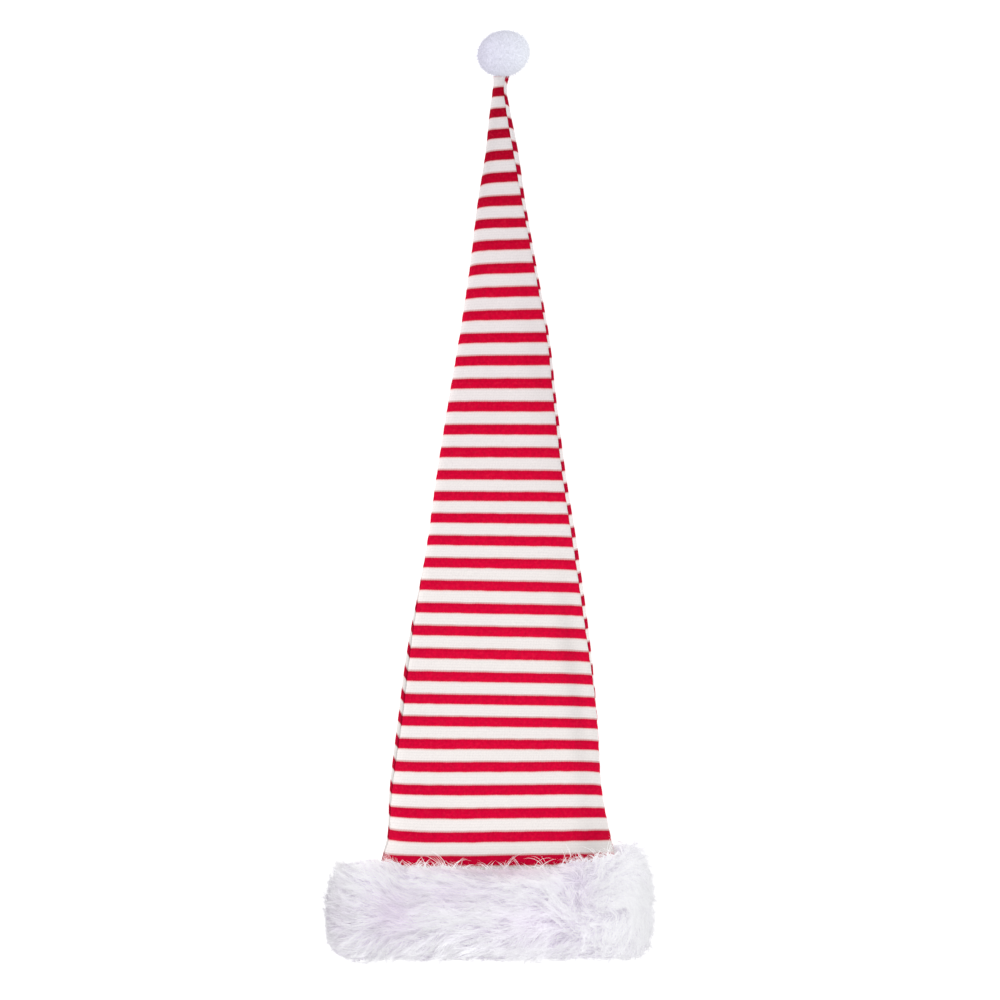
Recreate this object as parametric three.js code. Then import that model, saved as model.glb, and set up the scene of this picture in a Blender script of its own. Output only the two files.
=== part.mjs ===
// Long striped hat lying on its back: a two-panel jersey crown, a deep fur cuff and a pompom.
// Millimetres, +Z up. The crown runs along Y from the cuff (-Y) to the pompom (+Y), and the floor is z = 0.
import * as THREE from 'three';

// Driving dimensions
const CLOTH = 1.4; // thickness of the jersey
const GAP = 0.3; // clearance between pieces that are sewn together
const EDGE_SHARE = 0.46; // height of a section's side edges, as a share of the section's height
const DOME = 0.22; // how much a section's top drops from its middle to its sides, as a share of its rise

// Crown sections, from the tip down to the end that is tucked into the cuff.
// along: place on Y. left, right: the side edges seen from above. rise, floor: top and underside.
// rollLeft, rollRight: how far round the section each side seam sits from that edge, positive over the top.
const CROWN_SECTIONS = [
  { along: 417, left: 3.6, right: 19.4, rise: 25, floor: 12, rollLeft: -3, rollRight: 7.2 },
  { along: 405, left: 2.8, right: 16.8, rise: 18, floor: 5, rollLeft: -3, rollRight: 6 },
  { along: 382, left: -0.3, right: 20.3, rise: 13, floor: 0, rollLeft: -4, rollRight: 7 },
  { along: 340, left: -4.7, right: 28.7, rise: 12, floor: 0, rollLeft: -5, rollRight: 8 },
  { along: 292, left: -12.3, right: 35.4, rise: 12.5, floor: 0, rollLeft: -5, rollRight: 6 },
  { along: 226, left: -20.3, right: 46.8, rise: 13.5, floor: 0, rollLeft: -4, rollRight: 5 },
  { along: 154, left: -31.2, right: 59.7, rise: 15, floor: 0, rollLeft: -3, rollRight: 5.2 },
  { along: 89, left: -42.2, right: 67, rise: 16, floor: 0, rollLeft: -3, rollRight: 6 },
  { along: 20, left: -53.2, right: 75.8, rise: 17, floor: 0, rollLeft: -3, rollRight: 7 },
  { along: -69, left: -66.3, right: 89.8, rise: 18.5, floor: 0, rollLeft: 1.5, rollRight: 7.8 },
  { along: -152, left: -82.3, right: 100.6, rise: 20, floor: 0, rollLeft: 7.2, rollRight: 6.5 },
  { along: -227, left: -92.3, right: 107.6, rise: 24, floor: 0, rollLeft: 9.2, rollRight: 1 },
  { along: -295, left: -100.2, right: 111.9, rise: 34, floor: 0.5, rollLeft: 7.6, rollRight: 0 },
  { along: -342, left: -102.4, right: 120.5, rise: 46, floor: 4.5, rollLeft: 5.7, rollRight: 0 },
  { along: -368, left: -108, right: 125.5, rise: 50, floor: 8, rollLeft: 5.2, rollRight: 0 },
  { along: -396, left: -111, right: 128, rise: 51, floor: 9, rollLeft: 5, rollRight: 0 },
];
const STEPS_PER_SECTION = 2; // rings of facets between one crown section and the next
const PANEL_COLUMNS = 16; // facets across one panel
const EDGE_CROWDING = 0.7; // 0 spaces a panel's facets evenly, 1 crowds them fully into its rolled sides

// Shallow folds in the crown's top. across, along: middle. length, width: half sizes. lean: degrees from Y.
const CROWN_FOLDS = [
  { across: 88, along: -120, length: 75, width: 8, lean: 7, depth: 1.6 },
  { across: 96, along: -235, length: 60, width: 9, lean: 5, depth: 2.2 },
  { across: 62, along: -285, length: 55, width: 15, lean: -8, depth: 2.0 },
  { across: -45, along: -310, length: 45, width: 20, lean: 6, depth: 2.4 },
  { across: 10, along: 120, length: 110, width: 12, lean: 2, depth: 0.9 },
];

// Fur cuff: outer form of the pile, and the mouth that a head goes into
const CUFF = { left: -165, right: 165, rise: 73, floor: -6, crownEnd: -372, mouthEnd: -464 };
// How much further up the crown the pile reaches towards each end, and where that starts and is full
const CUFF_END_RISES = [
  { rise: 11, from: 58, to: 105 },
  { rise: 6, from: -95, to: -135 },
];
// What the underside of the right-hand end has above that. low, high: heights between which it fades out.
const CUFF_UNDER_RISE = { rise: 12, from: 95, to: 130, low: 16, high: 34 };
const MOUTH = { left: -127, right: 133, rise: 51, floor: 9 };
const CUFF_CLEARANCE = 1.2; // room between the tucked crown and the cuff
const CUFF_ROUNDNESS = 0.42; // power that rounds the pile over at the cuff's two ends
const CUFF_OUTER_STEPS = 14;
const CUFF_INNER_STEPS = 8;

// Pompom: outer form of its pile, pressed flat where it lies on the floor
const POMPOM = { across: 13.5, along: 440.5, lift: 23.4, halfWidth: 26.3, halfLength: 23.5, halfHeight: 24.4 };
const POMPOM_TURNS = 28;
const POMPOM_RINGS = 16;

// Facets of a section's outline in each quarter: on the rolled side and on the flat
const ROLL_STEPS = 6;
const FLAT_STEPS = 5;

const mix = (from, to, share) => from + (to - from) * share;
const clamp01 = (value) => Math.min(1, Math.max(0, value));

// 0 up to one value and 1 past another, with a smooth step between
function easeBetween(from, to, value) {
  const share = clamp01((value - from) / (to - from));
  return share * share * (3 - 2 * share);
}

// Slope of one column at a row of a table, from the rows beside it
function slopeAt(table, index, column) {
  const before = table[Math.max(0, index - 1)];
  const after = table[Math.min(table.length - 1, index + 1)];
  return (after[column] - before[column]) / (after.along - before.along);
}

// One column of a table at any place along it, on a smooth curve through the rows
function smoothColumn(table, along, column) {
  let index = 0;
  while (index < table.length - 2 && along < table[index + 1].along) index += 1;
  const start = table[index];
  const end = table[index + 1];
  const span = end.along - start.along;
  const share = (along - start.along) / span;
  const rest = 1 - share;
  const pullStart = slopeAt(table, index, column) * span;
  const pullEnd = slopeAt(table, index + 1, column) * span;
  return (
    start[column] * (1 + 2 * share) * rest * rest +
    pullStart * share * rest * rest +
    end[column] * share * share * (3 - 2 * share) -
    pullEnd * share * share * rest
  );
}

function crownSection(along) {
  const section = { along };
  for (const column of ['left', 'right', 'rise', 'floor', 'rollLeft', 'rollRight']) {
    section[column] = smoothColumn(CROWN_SECTIONS, along, column);
  }
  section.floor = Math.max(0, section.floor);
  return section;
}

// A quarter of a section's outline, from its side edge in to its middle
function quarterSteps(half, roll) {
  const steps = [];
  for (let i = 0; i < ROLL_STEPS; i += 1) {
    const turn = (Math.PI / 2) * (i / ROLL_STEPS);
    steps.push({ inset: roll * (1 - Math.cos(turn)), fullness: Math.sin(turn) });
  }
  for (let i = 0; i <= FLAT_STEPS; i += 1) {
    steps.push({ inset: mix(roll, half, i / FLAT_STEPS), fullness: 1 });
  }
  return steps;
}

// Outline of a section as a closed loop of (x, z), from the right edge over the top to the left and back under
function sectionLoop({ left, right, rise, floor }) {
  const middle = (left + right) / 2;
  const half = (right - left) / 2;
  const edge = mix(floor, rise, EDGE_SHARE);
  const inwards = quarterSteps(half, Math.min(half, (rise - floor) / 2));
  const outwards = [...inwards].reverse();
  const over = (side) => ({ inset, fullness }) => {
    const across = half - inset;
    const dome = 1 - DOME * (across / half) ** 2;
    return new THREE.Vector2(middle + side * across, edge + (rise - edge) * fullness * dome);
  };
  const under = (side) => ({ inset, fullness }) =>
    new THREE.Vector2(middle + side * (half - inset), edge - (edge - floor) * fullness);
  return [
    ...inwards.slice(0, -1).map(over(1)),
    ...outwards.slice(0, -1).map(over(-1)),
    ...inwards.slice(0, -1).map(under(-1)),
    ...outwards.slice(0, -1).map(under(1)),
  ];
}

// Distances along a closed loop from its first point to each point, ending with the whole length
function loopDistances(loop) {
  const distances = [0];
  for (let i = 0; i < loop.length; i += 1) {
    distances.push(distances[i] + loop[i].distanceTo(loop[(i + 1) % loop.length]));
  }
  return distances;
}

function pointOnLoop(loop, distances, distance) {
  const whole = distances[loop.length];
  const wrapped = ((distance % whole) + whole) % whole;
  let index = 0;
  while (index < loop.length - 1 && distances[index + 1] <= wrapped) index += 1;
  const share = (wrapped - distances[index]) / (distances[index + 1] - distances[index]);
  return loop[index].clone().lerp(loop[(index + 1) % loop.length], share);
}

// How far the folds press the crown's top down at a place seen from above
function foldDrop(across, along) {
  let drop = 0;
  for (const fold of CROWN_FOLDS) {
    const lean = THREE.MathUtils.degToRad(fold.lean);
    const sideways = (across - fold.across) * Math.cos(lean) + (along - fold.along) * Math.sin(lean);
    const lengthways = (along - fold.along) * Math.cos(lean) - (across - fold.across) * Math.sin(lean);
    drop += fold.depth * Math.exp(-((sideways / fold.width) ** 2) - (lengthways / fold.length) ** 2);
  }
  return drop;
}

// One ring of a panel: its outer points from seam to seam, then its inner points back
function panelRing(section, from, to) {
  const loop = sectionLoop(section);
  const distances = loopDistances(loop);
  const edge = mix(section.floor, section.rise, EDGE_SHARE);
  const outer = [];
  const inner = [];
  for (let column = 0; column <= PANEL_COLUMNS; column += 1) {
    const even = column / PANEL_COLUMNS;
    const crowded = (1 - Math.cos(Math.PI * even)) / 2;
    const distance = mix(from, to, mix(even, crowded, EDGE_CROWDING));
    const point = pointOnLoop(loop, distances, distance);
    const ahead = pointOnLoop(loop, distances, distance + CLOTH);
    const behind = pointOnLoop(loop, distances, distance - CLOTH);
    const tangent = ahead.sub(behind).normalize();
    const height = clamp01((point.y - edge) / (section.rise - edge));
    const drop = height * foldDrop(point.x, section.along);
    outer.push(new THREE.Vector3(point.x, section.along, point.y - drop));
    inner.push(
      new THREE.Vector3(point.x - CLOTH * tangent.y, section.along, point.y + CLOTH * tangent.x - drop),
    );
  }
  return [...outer, ...inner.reverse()];
}

function geometryFrom(points, triangles) {
  const geometry = new THREE.BufferGeometry();
  geometry.setAttribute('position', new THREE.Float32BufferAttribute(points.flatMap((p) => p.toArray()), 3));
  geometry.setIndex(triangles.flat());
  geometry.computeVertexNormals();
  return geometry;
}

// Triangles between two neighbouring rings of points that each close on themselves
function bandTriangles(first, second, count) {
  const triangles = [];
  for (let i = 0; i < count; i += 1) {
    const next = (i + 1) % count;
    triangles.push([first + i, first + next, second + i]);
    triangles.push([first + next, second + next, second + i]);
  }
  return triangles;
}

// Sewn panel as a solid wall, lofted through its rings and closed at both ends
function panelGeometry(seamFrom, seamTo) {
  const rings = [];
  for (let row = 0; row < CROWN_SECTIONS.length - 1; row += 1) {
    const last = row === CROWN_SECTIONS.length - 2;
    for (let step = 0; step < STEPS_PER_SECTION + (last ? 1 : 0); step += 1) {
      const share = step / STEPS_PER_SECTION;
      const along = mix(CROWN_SECTIONS[row].along, CROWN_SECTIONS[row + 1].along, share);
      const section = crownSection(along);
      rings.push(panelRing(section, seamFrom(section), seamTo(section)));
    }
  }
  const count = 2 * (PANEL_COLUMNS + 1);
  const triangles = [];
  for (let ring = 0; ring < rings.length - 1; ring += 1) {
    triangles.push(...bandTriangles(ring * count, (ring + 1) * count, count));
  }
  const lastRing = (rings.length - 1) * count;
  for (let column = 0; column < PANEL_COLUMNS; column += 1) {
    const across = count - 1 - column;
    triangles.push([across, column + 1, column], [across, across - 1, column + 1]);
    triangles.push([lastRing + across, lastRing + column, lastRing + column + 1]);
    triangles.push([lastRing + across, lastRing + column + 1, lastRing + across - 1]);
  }
  return geometryFrom(rings.flat(), triangles);
}

// Distances round a section to its two side seams
const rightSeam = (section) => section.rollRight;
function leftSeam(section) {
  const loop = sectionLoop(section);
  return loopDistances(loop)[loop.length / 2] - section.rollLeft;
}
function wholeLoop(section) {
  const loop = sectionLoop(section);
  return loopDistances(loop)[loop.length];
}

function frontPanelGeometry() {
  return panelGeometry(
    (section) => rightSeam(section) + GAP / 2,
    (section) => leftSeam(section) - GAP / 2,
  );
}

function backPanelGeometry() {
  return panelGeometry(
    (section) => leftSeam(section) + GAP / 2,
    (section) => wholeLoop(section) + rightSeam(section) - GAP / 2,
  );
}

// Section of the hollow through the cuff: round the tucked crown first, then easing out to the mouth
function cuffHollow(along) {
  const tuckEnd = CROWN_SECTIONS.at(-1).along;
  const crown = crownSection(Math.max(along, tuckEnd));
  const ease = easeBetween(tuckEnd, CUFF.mouthEnd, along);
  return {
    left: mix(crown.left - CUFF_CLEARANCE, MOUTH.left, ease),
    right: mix(crown.right + CUFF_CLEARANCE, MOUTH.right, ease),
    rise: mix(crown.rise + CUFF_CLEARANCE, MOUTH.rise, ease),
    floor: mix(crown.floor - CUFF_CLEARANCE, MOUTH.floor, ease),
  };
}

// Where the pile ends on the crown, at a place on the cuff's outline
function cuffCrownEnd(across, height) {
  let end = CUFF.crownEnd;
  for (const { rise, from, to } of CUFF_END_RISES) end += rise * easeBetween(from, to, across);
  const { rise, from, to, low, high } = CUFF_UNDER_RISE;
  return end + rise * easeBetween(from, to, across) * easeBetween(high, low, height);
}

// Ring of fur: at each place round the section, a closed profile out over the pile and back through the hollow
function furCuffGeometry() {
  const outerLoop = sectionLoop(CUFF);
  const profileLength = CUFF_OUTER_STEPS + CUFF_INNER_STEPS;
  const points = [];
  outerLoop.forEach((outline, place) => {
    const crownEnd = cuffCrownEnd(outline.x, outline.y);
    for (let step = 0; step < profileLength; step += 1) {
      const outside = step <= CUFF_OUTER_STEPS;
      const share = outside ? step / CUFF_OUTER_STEPS : (profileLength - step) / CUFF_INNER_STEPS;
      const along = mix(crownEnd, CUFF.mouthEnd, (1 - Math.cos(Math.PI * share)) / 2);
      const inside = sectionLoop(cuffHollow(along))[place];
      const fullness = outside ? Math.sin(Math.PI * share) ** CUFF_ROUNDNESS : 0;
      const across = mix(inside.x, outline.x, fullness);
      const height = Math.max(0, mix(inside.y, outline.y, fullness));
      points.push(new THREE.Vector3(across, along, height));
    }
  });
  const triangles = [];
  for (let place = 0; place < outerLoop.length; place += 1) {
    const next = (place + 1) % outerLoop.length;
    triangles.push(...bandTriangles(next * profileLength, place * profileLength, profileLength));
  }
  return geometryFrom(points, triangles);
}

function pompomGeometry() {
  const points = [];
  for (let ring = 1; ring < POMPOM_RINGS; ring += 1) {
    const tilt = (Math.PI * ring) / POMPOM_RINGS;
    for (let turn = 0; turn < POMPOM_TURNS; turn += 1) {
      const angle = (2 * Math.PI * turn) / POMPOM_TURNS;
      const across = POMPOM.across + POMPOM.halfWidth * Math.sin(tilt) * Math.cos(angle);
      const along = POMPOM.along + POMPOM.halfLength * Math.sin(tilt) * Math.sin(angle);
      const height = Math.max(0, POMPOM.lift + POMPOM.halfHeight * Math.cos(tilt));
      points.push(new THREE.Vector3(across, along, height));
    }
  }
  const top = points.length;
  const bottom = top + 1;
  points.push(new THREE.Vector3(POMPOM.across, POMPOM.along, POMPOM.lift + POMPOM.halfHeight));
  points.push(new THREE.Vector3(POMPOM.across, POMPOM.along, 0));
  const triangles = [];
  const lastRing = (POMPOM_RINGS - 2) * POMPOM_TURNS;
  for (let ring = 0; ring < POMPOM_RINGS - 2; ring += 1) {
    triangles.push(...bandTriangles((ring + 1) * POMPOM_TURNS, ring * POMPOM_TURNS, POMPOM_TURNS));
  }
  for (let turn = 0; turn < POMPOM_TURNS; turn += 1) {
    const next = (turn + 1) % POMPOM_TURNS;
    triangles.push([top, turn, next], [bottom, lastRing + next, lastRing + turn]);
  }
  return geometryFrom(points, triangles);
}

const jersey = new THREE.MeshStandardMaterial({ color: '#d70332', roughness: 0.85, metalness: 0 });
const fur = new THREE.MeshStandardMaterial({ color: '#f3eef8', roughness: 0.95, metalness: 0 });

function piece(name, geometry, material) {
  const mesh = new THREE.Mesh(geometry, material);
  mesh.name = name;
  return mesh;
}

const hat = new THREE.Group();
hat.add(piece('front_panel', frontPanelGeometry(), jersey));
hat.add(piece('back_panel', backPanelGeometry(), jersey));
hat.add(piece('fur_cuff', furCuffGeometry(), fur));
hat.add(piece('pompom', pompomGeometry(), fur));

export default hat;
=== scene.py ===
import math

import bpy
import numpy as np
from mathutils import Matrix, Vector


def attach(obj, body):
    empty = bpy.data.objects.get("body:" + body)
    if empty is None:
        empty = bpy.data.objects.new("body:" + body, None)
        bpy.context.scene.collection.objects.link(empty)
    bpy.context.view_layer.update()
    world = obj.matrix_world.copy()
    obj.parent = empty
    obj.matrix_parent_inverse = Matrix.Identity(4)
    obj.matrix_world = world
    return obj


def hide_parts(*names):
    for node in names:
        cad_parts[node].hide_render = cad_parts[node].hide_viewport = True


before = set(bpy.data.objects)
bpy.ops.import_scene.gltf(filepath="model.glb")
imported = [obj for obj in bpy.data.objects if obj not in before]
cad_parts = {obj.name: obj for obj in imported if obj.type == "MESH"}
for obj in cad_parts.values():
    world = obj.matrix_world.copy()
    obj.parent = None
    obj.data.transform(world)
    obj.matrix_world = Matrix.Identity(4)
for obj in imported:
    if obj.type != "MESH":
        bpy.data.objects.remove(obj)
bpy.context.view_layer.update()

MM = 0.001
TINY = 1e-9

# The photograph's frame: one pixel is one millimetre on the floor
PHOTO_WIDTH = 1000
PHOTO_ROW_OF_ORIGIN = 494
VIEW_CENTRE = (10.0, -6.0)
CAMERA_HEIGHT = 8000.0
CAMERA_REACH = 100000.0
SENSOR = 36.0

# Studio: floor, light from all round, and soft lights with place and size in metres and power in watts
FLOOR_HALF = 6000.0
FLOOR_DROP = 0.4
FLOOR_GREY = (0.35, 0.35, 0.35, 1)
FLOOR_GLOW = 0.85
SKY = (0.98, 0.98, 1.0, 1)
SKY_STRENGTH = 0.68
LIGHTS = (
    ("key_light", (-1.8, 0.5, 1.9), 1.6, 36.0),
    ("fill_light", (2.2, 0.1, 1.1), 1.8, 16.0),
)

# Crown sections, as in the model: side edges, top and underside, and how far each side seam sits round
# from its edge, positive over the top
SECTION_COLUMNS = ("along", "left", "right", "rise", "floor", "roll_left", "roll_right")
CROWN_SECTIONS = (
    (417, 3.6, 19.4, 25, 12, -3, 7.2),
    (405, 2.8, 16.8, 18, 5, -3, 6),
    (382, -0.3, 20.3, 13, 0, -4, 7),
    (340, -4.7, 28.7, 12, 0, -5, 8),
    (292, -12.3, 35.4, 12.5, 0, -5, 6),
    (226, -20.3, 46.8, 13.5, 0, -4, 5),
    (154, -31.2, 59.7, 15, 0, -3, 5.2),
    (89, -42.2, 67, 16, 0, -3, 6),
    (20, -53.2, 75.8, 17, 0, -3, 7),
    (-69, -66.3, 89.8, 18.5, 0, 1.5, 7.8),
    (-152, -82.3, 100.6, 20, 0, 7.2, 6.5),
    (-227, -92.3, 107.6, 24, 0, 9.2, 1),
    (-295, -100.2, 111.9, 34, 0.5, 7.6, 0),
    (-342, -102.4, 120.5, 46, 4.5, 5.7, 0),
    (-368, -108, 125.5, 50, 8, 5.2, 0),
    (-396, -111, 128, 51, 9, 5, 0),
)
# Share of a section's height at its side edges, fall of its top towards them, wall and gap at the seams
EDGE_SHARE = 0.46
DOME = 0.22
CLOTH = 1.4
SEAM_GAP = 0.3

# Folds in the crown's top, as in the model: place across and along, half length, half width, degrees of
# lean and depth. All other soft marks are rows of the same kind.
CROWN_FOLDS = (
    (88, -120, 75, 8, 7, 1.6),
    (96, -235, 60, 9, 5, 2.2),
    (62, -285, 55, 15, -8, 2.0),
    (-45, -310, 45, 20, 6, 2.4),
    (10, 120, 110, 12, 2, 0.9),
)
# Painted shade: soft grey patches of the cloth where it lies in shade, such as beside folds and the cuff
CROWN_PAINTED_SHADES = (
    (87, -228, 130, 9, 5.6, 0.10),
    (50, 120, 120, 14, 10, 0.06),
    (74, -145, 40, 9, 6, 0.07),
    (104, -352, 22, 26, 0, 0.18),
    (20, -360, 15, 160, 0, 0.08),
    (20, -372, 9, 160, 0, 0.30),
    (-6, 330, 60, 7, -10, 0.09),
)

# Panel meshes: rows, columns, steps round a quarter of a section, and how columns crowd to the seams
PANEL_ROWS = 290
PANEL_COLUMNS = 60
PANEL_QUARTER = (24, 30)
EDGE_CROWDING = 0.55
# Relief of the cloth: waves with height, lengths along and across and phase, then puckers at the seams and
# gathers at the cuff with height, length and wander
CLOTH_WAVES = ((0.35, 31, 47, 0.0), (0.28, 19, -23, 1.3), (0.22, 52, 13, 0.4))
WAVES_FROM_SEAM = (0.0, 22.0)
PUCKERS = (0.25, 2.1, 1.5, 37)
PUCKER_REACH = 4.5
GATHERS = (0.9, 6.3, 1.2, 41)
GATHERS_ALONG = (-315.0, -375.0)
SEAM_DIP = 0.45
SEAM_DIP_WIDTH = 1.4

# Knitted stripes: their repeat, its red part, the top edge of the lowest red stripe, and how they lean where
# the cloth rolls round a side
STRIPE_PITCH = 22.8
RED_WIDTH = 10.4
LOWEST_RED_ROW = 855.3
SEAM_LEAN = 0.132
# How they lie at a row of the photograph: drift down, slope across the front, hang of their left and right
# ends, and on the back panel their climb beside the left seam and step at the right one
STRIPE_COLUMNS = ("row", "drift", "slope", "left_droop", "right_droop", "left_climb", "back_step")
STRIPE_LIE = (
    (60, 10.5, -0.08, 0.5, 0, 0, 18.0),
    (92, 7.3, -0.05, 0.5, 0, 0, 15.5),
    (132, 3.3, -0.07, 1.5, 0, 0, 10.5),
    (176, 1.3, -0.06, 3.0, 0, 0, 7.0),
    (210, 2.1, -0.03, 2.4, 0, 0, 7.0),
    (244, 0.4, -0.03, 2.4, 0, 0, 6.5),
    (268, 1.1, -0.03, 2.4, 0, 0, 6.5),
    (303, 2.0, -0.02, 1.6, 0, 0, 7.0),
    (360, 1.8, -0.006, 1.0, 0, 0, 7.5),
    (470, 2.4, 0.006, 0, 0.6, 0, 9.5),
    (500, 0.5, 0.006, 0, 0.8, 0.5, 9.5),
    (540, -0.5, 0.012, 0, 1.0, 1.5, 9.5),
    (630, -1.1, 0.018, 0, 1.4, 6.0, 10.0),
    (690, -1.2, 0.016, 0, 1.2, 4.3, 10.0),
    (721, -2.3, 0.014, 0, 1.2, 3.9, 10.0),
    (766, -3.4, -0.008, -2.2, 1.8, 3.2, 10.0),
    (790, -3.2, -0.009, -3.2, 1.8, 2.8, 10.0),
    (812, -3.0, -0.010, -4.0, 0.6, 2.5, 10.0),
    (836, -2.6, -0.014, -5.2, -0.2, 2.0, 10.0),
    (860, -2.2, -0.014, -3.4, -1.0, 1.8, 10.0),
    (900, -2.2, -0.014, -3.4, -1.0, 1.6, 10.0),
)
LEFT_DROOP_POWER = 4
RIGHT_DROOP_POWER = 6
DROOP_LIMIT = 1.1
CLIMB_REACH = 3.0
# Painted shade and light where the cloth turns round a side: the back panel is greyer beside the left
# seam, low on the crown, and paler beside the right one, and the front panel's red is deeper towards the
# left seam
TURN_ALONG = (-60.0, -140.0)
TURN_SHADE = 0.25
TURN_LIGHT = 0.12
TURN_REACH = 9.0
FRONT_TURN_SHADE = 0.28
FRONT_TURN_REACH = 28.0

# Yarn colours with painted shade, darkest at the tip, then rows of the photograph between which white and
# red change, and to what
WHITE_YARN_SHADED_TIP = (0.72, 0.675, 0.675, 1)
RED_YARN_SHADED_TIP = (0.33, 0.0006, 0.012, 1)
YARN_SHADE_STEPS = (
    ((60.0, 330.0), (0.81, 0.745, 0.745, 1), (0.61, 0.001, 0.030, 1)),
    ((300.0, 640.0), (0.885, 0.835, 0.81, 1), (0.697, 0.002, 0.039, 1)),
    ((720.0, 850.0), (0.885, 0.835, 0.81, 1), (0.64, 0.001, 0.036, 1)),
)
# Painted shade: the red where the cloth turns round a side, and how much of it is mixed in
RED_TURNED_SHADE = (0.34, 0.001, 0.022, 1)
RED_TURNED_SHADE_SHARE = 0.75
# Shade of a red stripe at its top and from this share of its width on, then its flecks
RED_SHADE = (0.88, 1.03)
RED_SHADE_WIDTH = 0.55
RED_FLECK = (0.80, 0.04, 0.085, 1)
FLECK_RANGE = (0.45, 0.8)
FLECK_SHARE = 0.18
# Softness of the stripes' edges, then the tan thread above the red and the warm edge below it: from where
# to where off the red's edge, and how soft
STRIPE_SOFT = 1.8
TAN_BAND = (-1.3, -0.1, 0.7)
TAN_THREAD = (0.64, 0.31, 0.295, 1)
TAN_TWINKLE = (0.4, 0.95)
WARM_BAND = (-0.2, 1.4, 1.2)
WARM_EDGE = (0.93, 0.50, 0.45, 1)
WARM_SHARE = 0.3
# Stitches: size, slant, ridges, narrowness of the valleys, sway of the stripes, shade, and relief
COURSE_HEIGHT = 1.35
WALE_WIDTH = 1.6
STITCH_SLANT = 0.45
STITCH_RIDGE = 0.5
STITCH_VALLEY_POWER = 3.0
STITCH_SWAY = (-0.2, 0.2)
COURSE_SHADE = (0.982, 1.0)
STITCH_SHADE = (0.06, 1.003)
FIBRE_SHADE = (0.90, 1.09)
COURSE_RELIEF = 0.35
JERSEY_BUMP = (0.55, 0.25)
# Unevenness: scale and detail of a noise, and the values that it is spread between
STRIPE_UNEVEN = (90.0, 2.0, -0.45, 0.45)
RED_UNEVEN = (330.0, 3.0, 0.74, 1.26)
LILAC_UNEVEN = (60.0, 2.0, 0.3, 1.1)
BACKING_UNEVEN = (500.0, 2.0, 0.5, 1.2)
POMPOM_UNEVEN = (260.0, 3.0, 1.03, 0.97)
FLECK_NOISE = 420.0
FIBRE_NOISE = 700.0
DOWN_NOISE = (160.0, 3.0)

# Fur cuff and its mouth, as in the model
CUFF = {"left": -165.0, "right": 165.0, "rise": 73.0, "floor": -6.0}
CUFF_CROWN_END = -372.0
CUFF_MOUTH_END = -464.0
# Rise of the cuff's crown edge towards its ends: how much, from where and to where across the hat, and the
# same for what its underside has above that at the right, with the heights between which that comes in
CUFF_END_RISES = ((11.0, 58.0, 105.0), (6.0, -95.0, -135.0))
CUFF_UNDER_RISE = (12.0, 95.0, 130.0)
CUFF_UNDER_HEIGHTS = (34.0, 16.0)
MOUTH = {"left": -127.0, "right": 133.0, "rise": 51.0, "floor": 9.0}
CUFF_CLEARANCE = 1.2
CUFF_ROUNDNESS = 0.42
# Grid of the cuff: places round it, steps from crown to mouth, and the outline and profile that give them
CUFF_PLACES = 400
CUFF_STEPS = 120
CUFF_QUARTER = (40, 60)
CUFF_PROFILE = 61
# How much coarser the backing cloth's grid is each way, and its steps of lining
BASE_COARSER = (2, 3)
LINING_STEPS = 14
# How far pile and backing fill the cuff, at its sides and over its top, and are drawn in at its edges
FUR_FILL = (0.99, 0.97)
BASE_FILL = (0.86, 0.66)
FUR_INSET = 2.0
BASE_INSET = 5.0
HAIR_CEILING = 78.0
HAIR_FLOOR = 0.05

# Fur colours from root to tip, painted shade darkest at the root, with the shares of a strand between which
# they change, then the painted lilac shade of hollows, the painted light of the pale right end, and the
# painted red reflection and shade on the fur beside the red stripe
FUR_ROOT_SHADE = (0.80, 0.745, 0.845, 1)
FUR_MIDDLE_SHADE = (0.90, 0.88, 0.93, 1)
FUR_STEPS = (((0.0, 0.4), FUR_MIDDLE_SHADE), ((0.25, 0.8), (0.975, 0.975, 0.985, 1)))
FUR_LILAC_SHADE = (0.86, 0.765, 0.90, 1)
FUR_PALE_LIGHT = (0.905, 0.905, 0.925, 1)
FUR_RED_REFLECTION = (0.68, 0.50, 0.59, 1)
# Shares of the colour for the light on the fur and for a painted glow, elsewhere and at the painted pale end
FUR_BODY = (0.90, 0.40)
FUR_GLOW_SHARES = (0.52, 1.24)
FUR_GLOW = 0.50
# Backing cloth: white, and painted shade in its stitches' hollows, then its stitches and relief
BACKING_WHITE = (0.90, 0.88, 0.89, 1)
BACKING_SHADE = (0.55, 0.50, 0.55, 1)
BACKING_HOLLOW = (0.3, -1.3)
BACKING_COURSE = 2.6
BACKING_WALE = 3.4
BACKING_BUMP = (0.7, 0.6)

# Which way the fur lies: where it parts, how far it sinks, and how far it points up the hat, with the places
# across and along between which that comes in
FUR_PARTING = 94.0
FUR_PARTING_WIDTH = 20.0
FUR_PARTED = (-428.0, -402.0)
FLOW_SINK = -0.3
EVERYWHERE = (-1000.0, -999.0)
FLOW_UPWARDS = (
    (0.12, EVERYWHERE, EVERYWHERE),
    (0.25, (100.0, 50.0), (-390.0, -376.0)),
    (-0.65, EVERYWHERE, (-410.0, -450.0)),
    (0.35, (-90.0, -130.0), (-450.0, -410.0)),
    (-1.2, (112.0, 148.0), EVERYWHERE),
    (0.9, (112.0, 148.0), (-390.0, -376.0)),
)
# Its swirls, with strength, length and seed, as sums of waves
FLOW_SWIRLS = ((0.25, 80.0, 11), (0.4, 34.0, 12))
NOISE_WAVES = 6
NOISE_LENGTHS = (0.7, 1.6)
NOISE_HEIGHT = 2.4
# Round this place the locks turn at random much more
FUR_TOUSLED = 106.0
FUR_TOUSLED_WIDTH = 28.0
FUR_TOUSLED_MORE = 1.9
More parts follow.
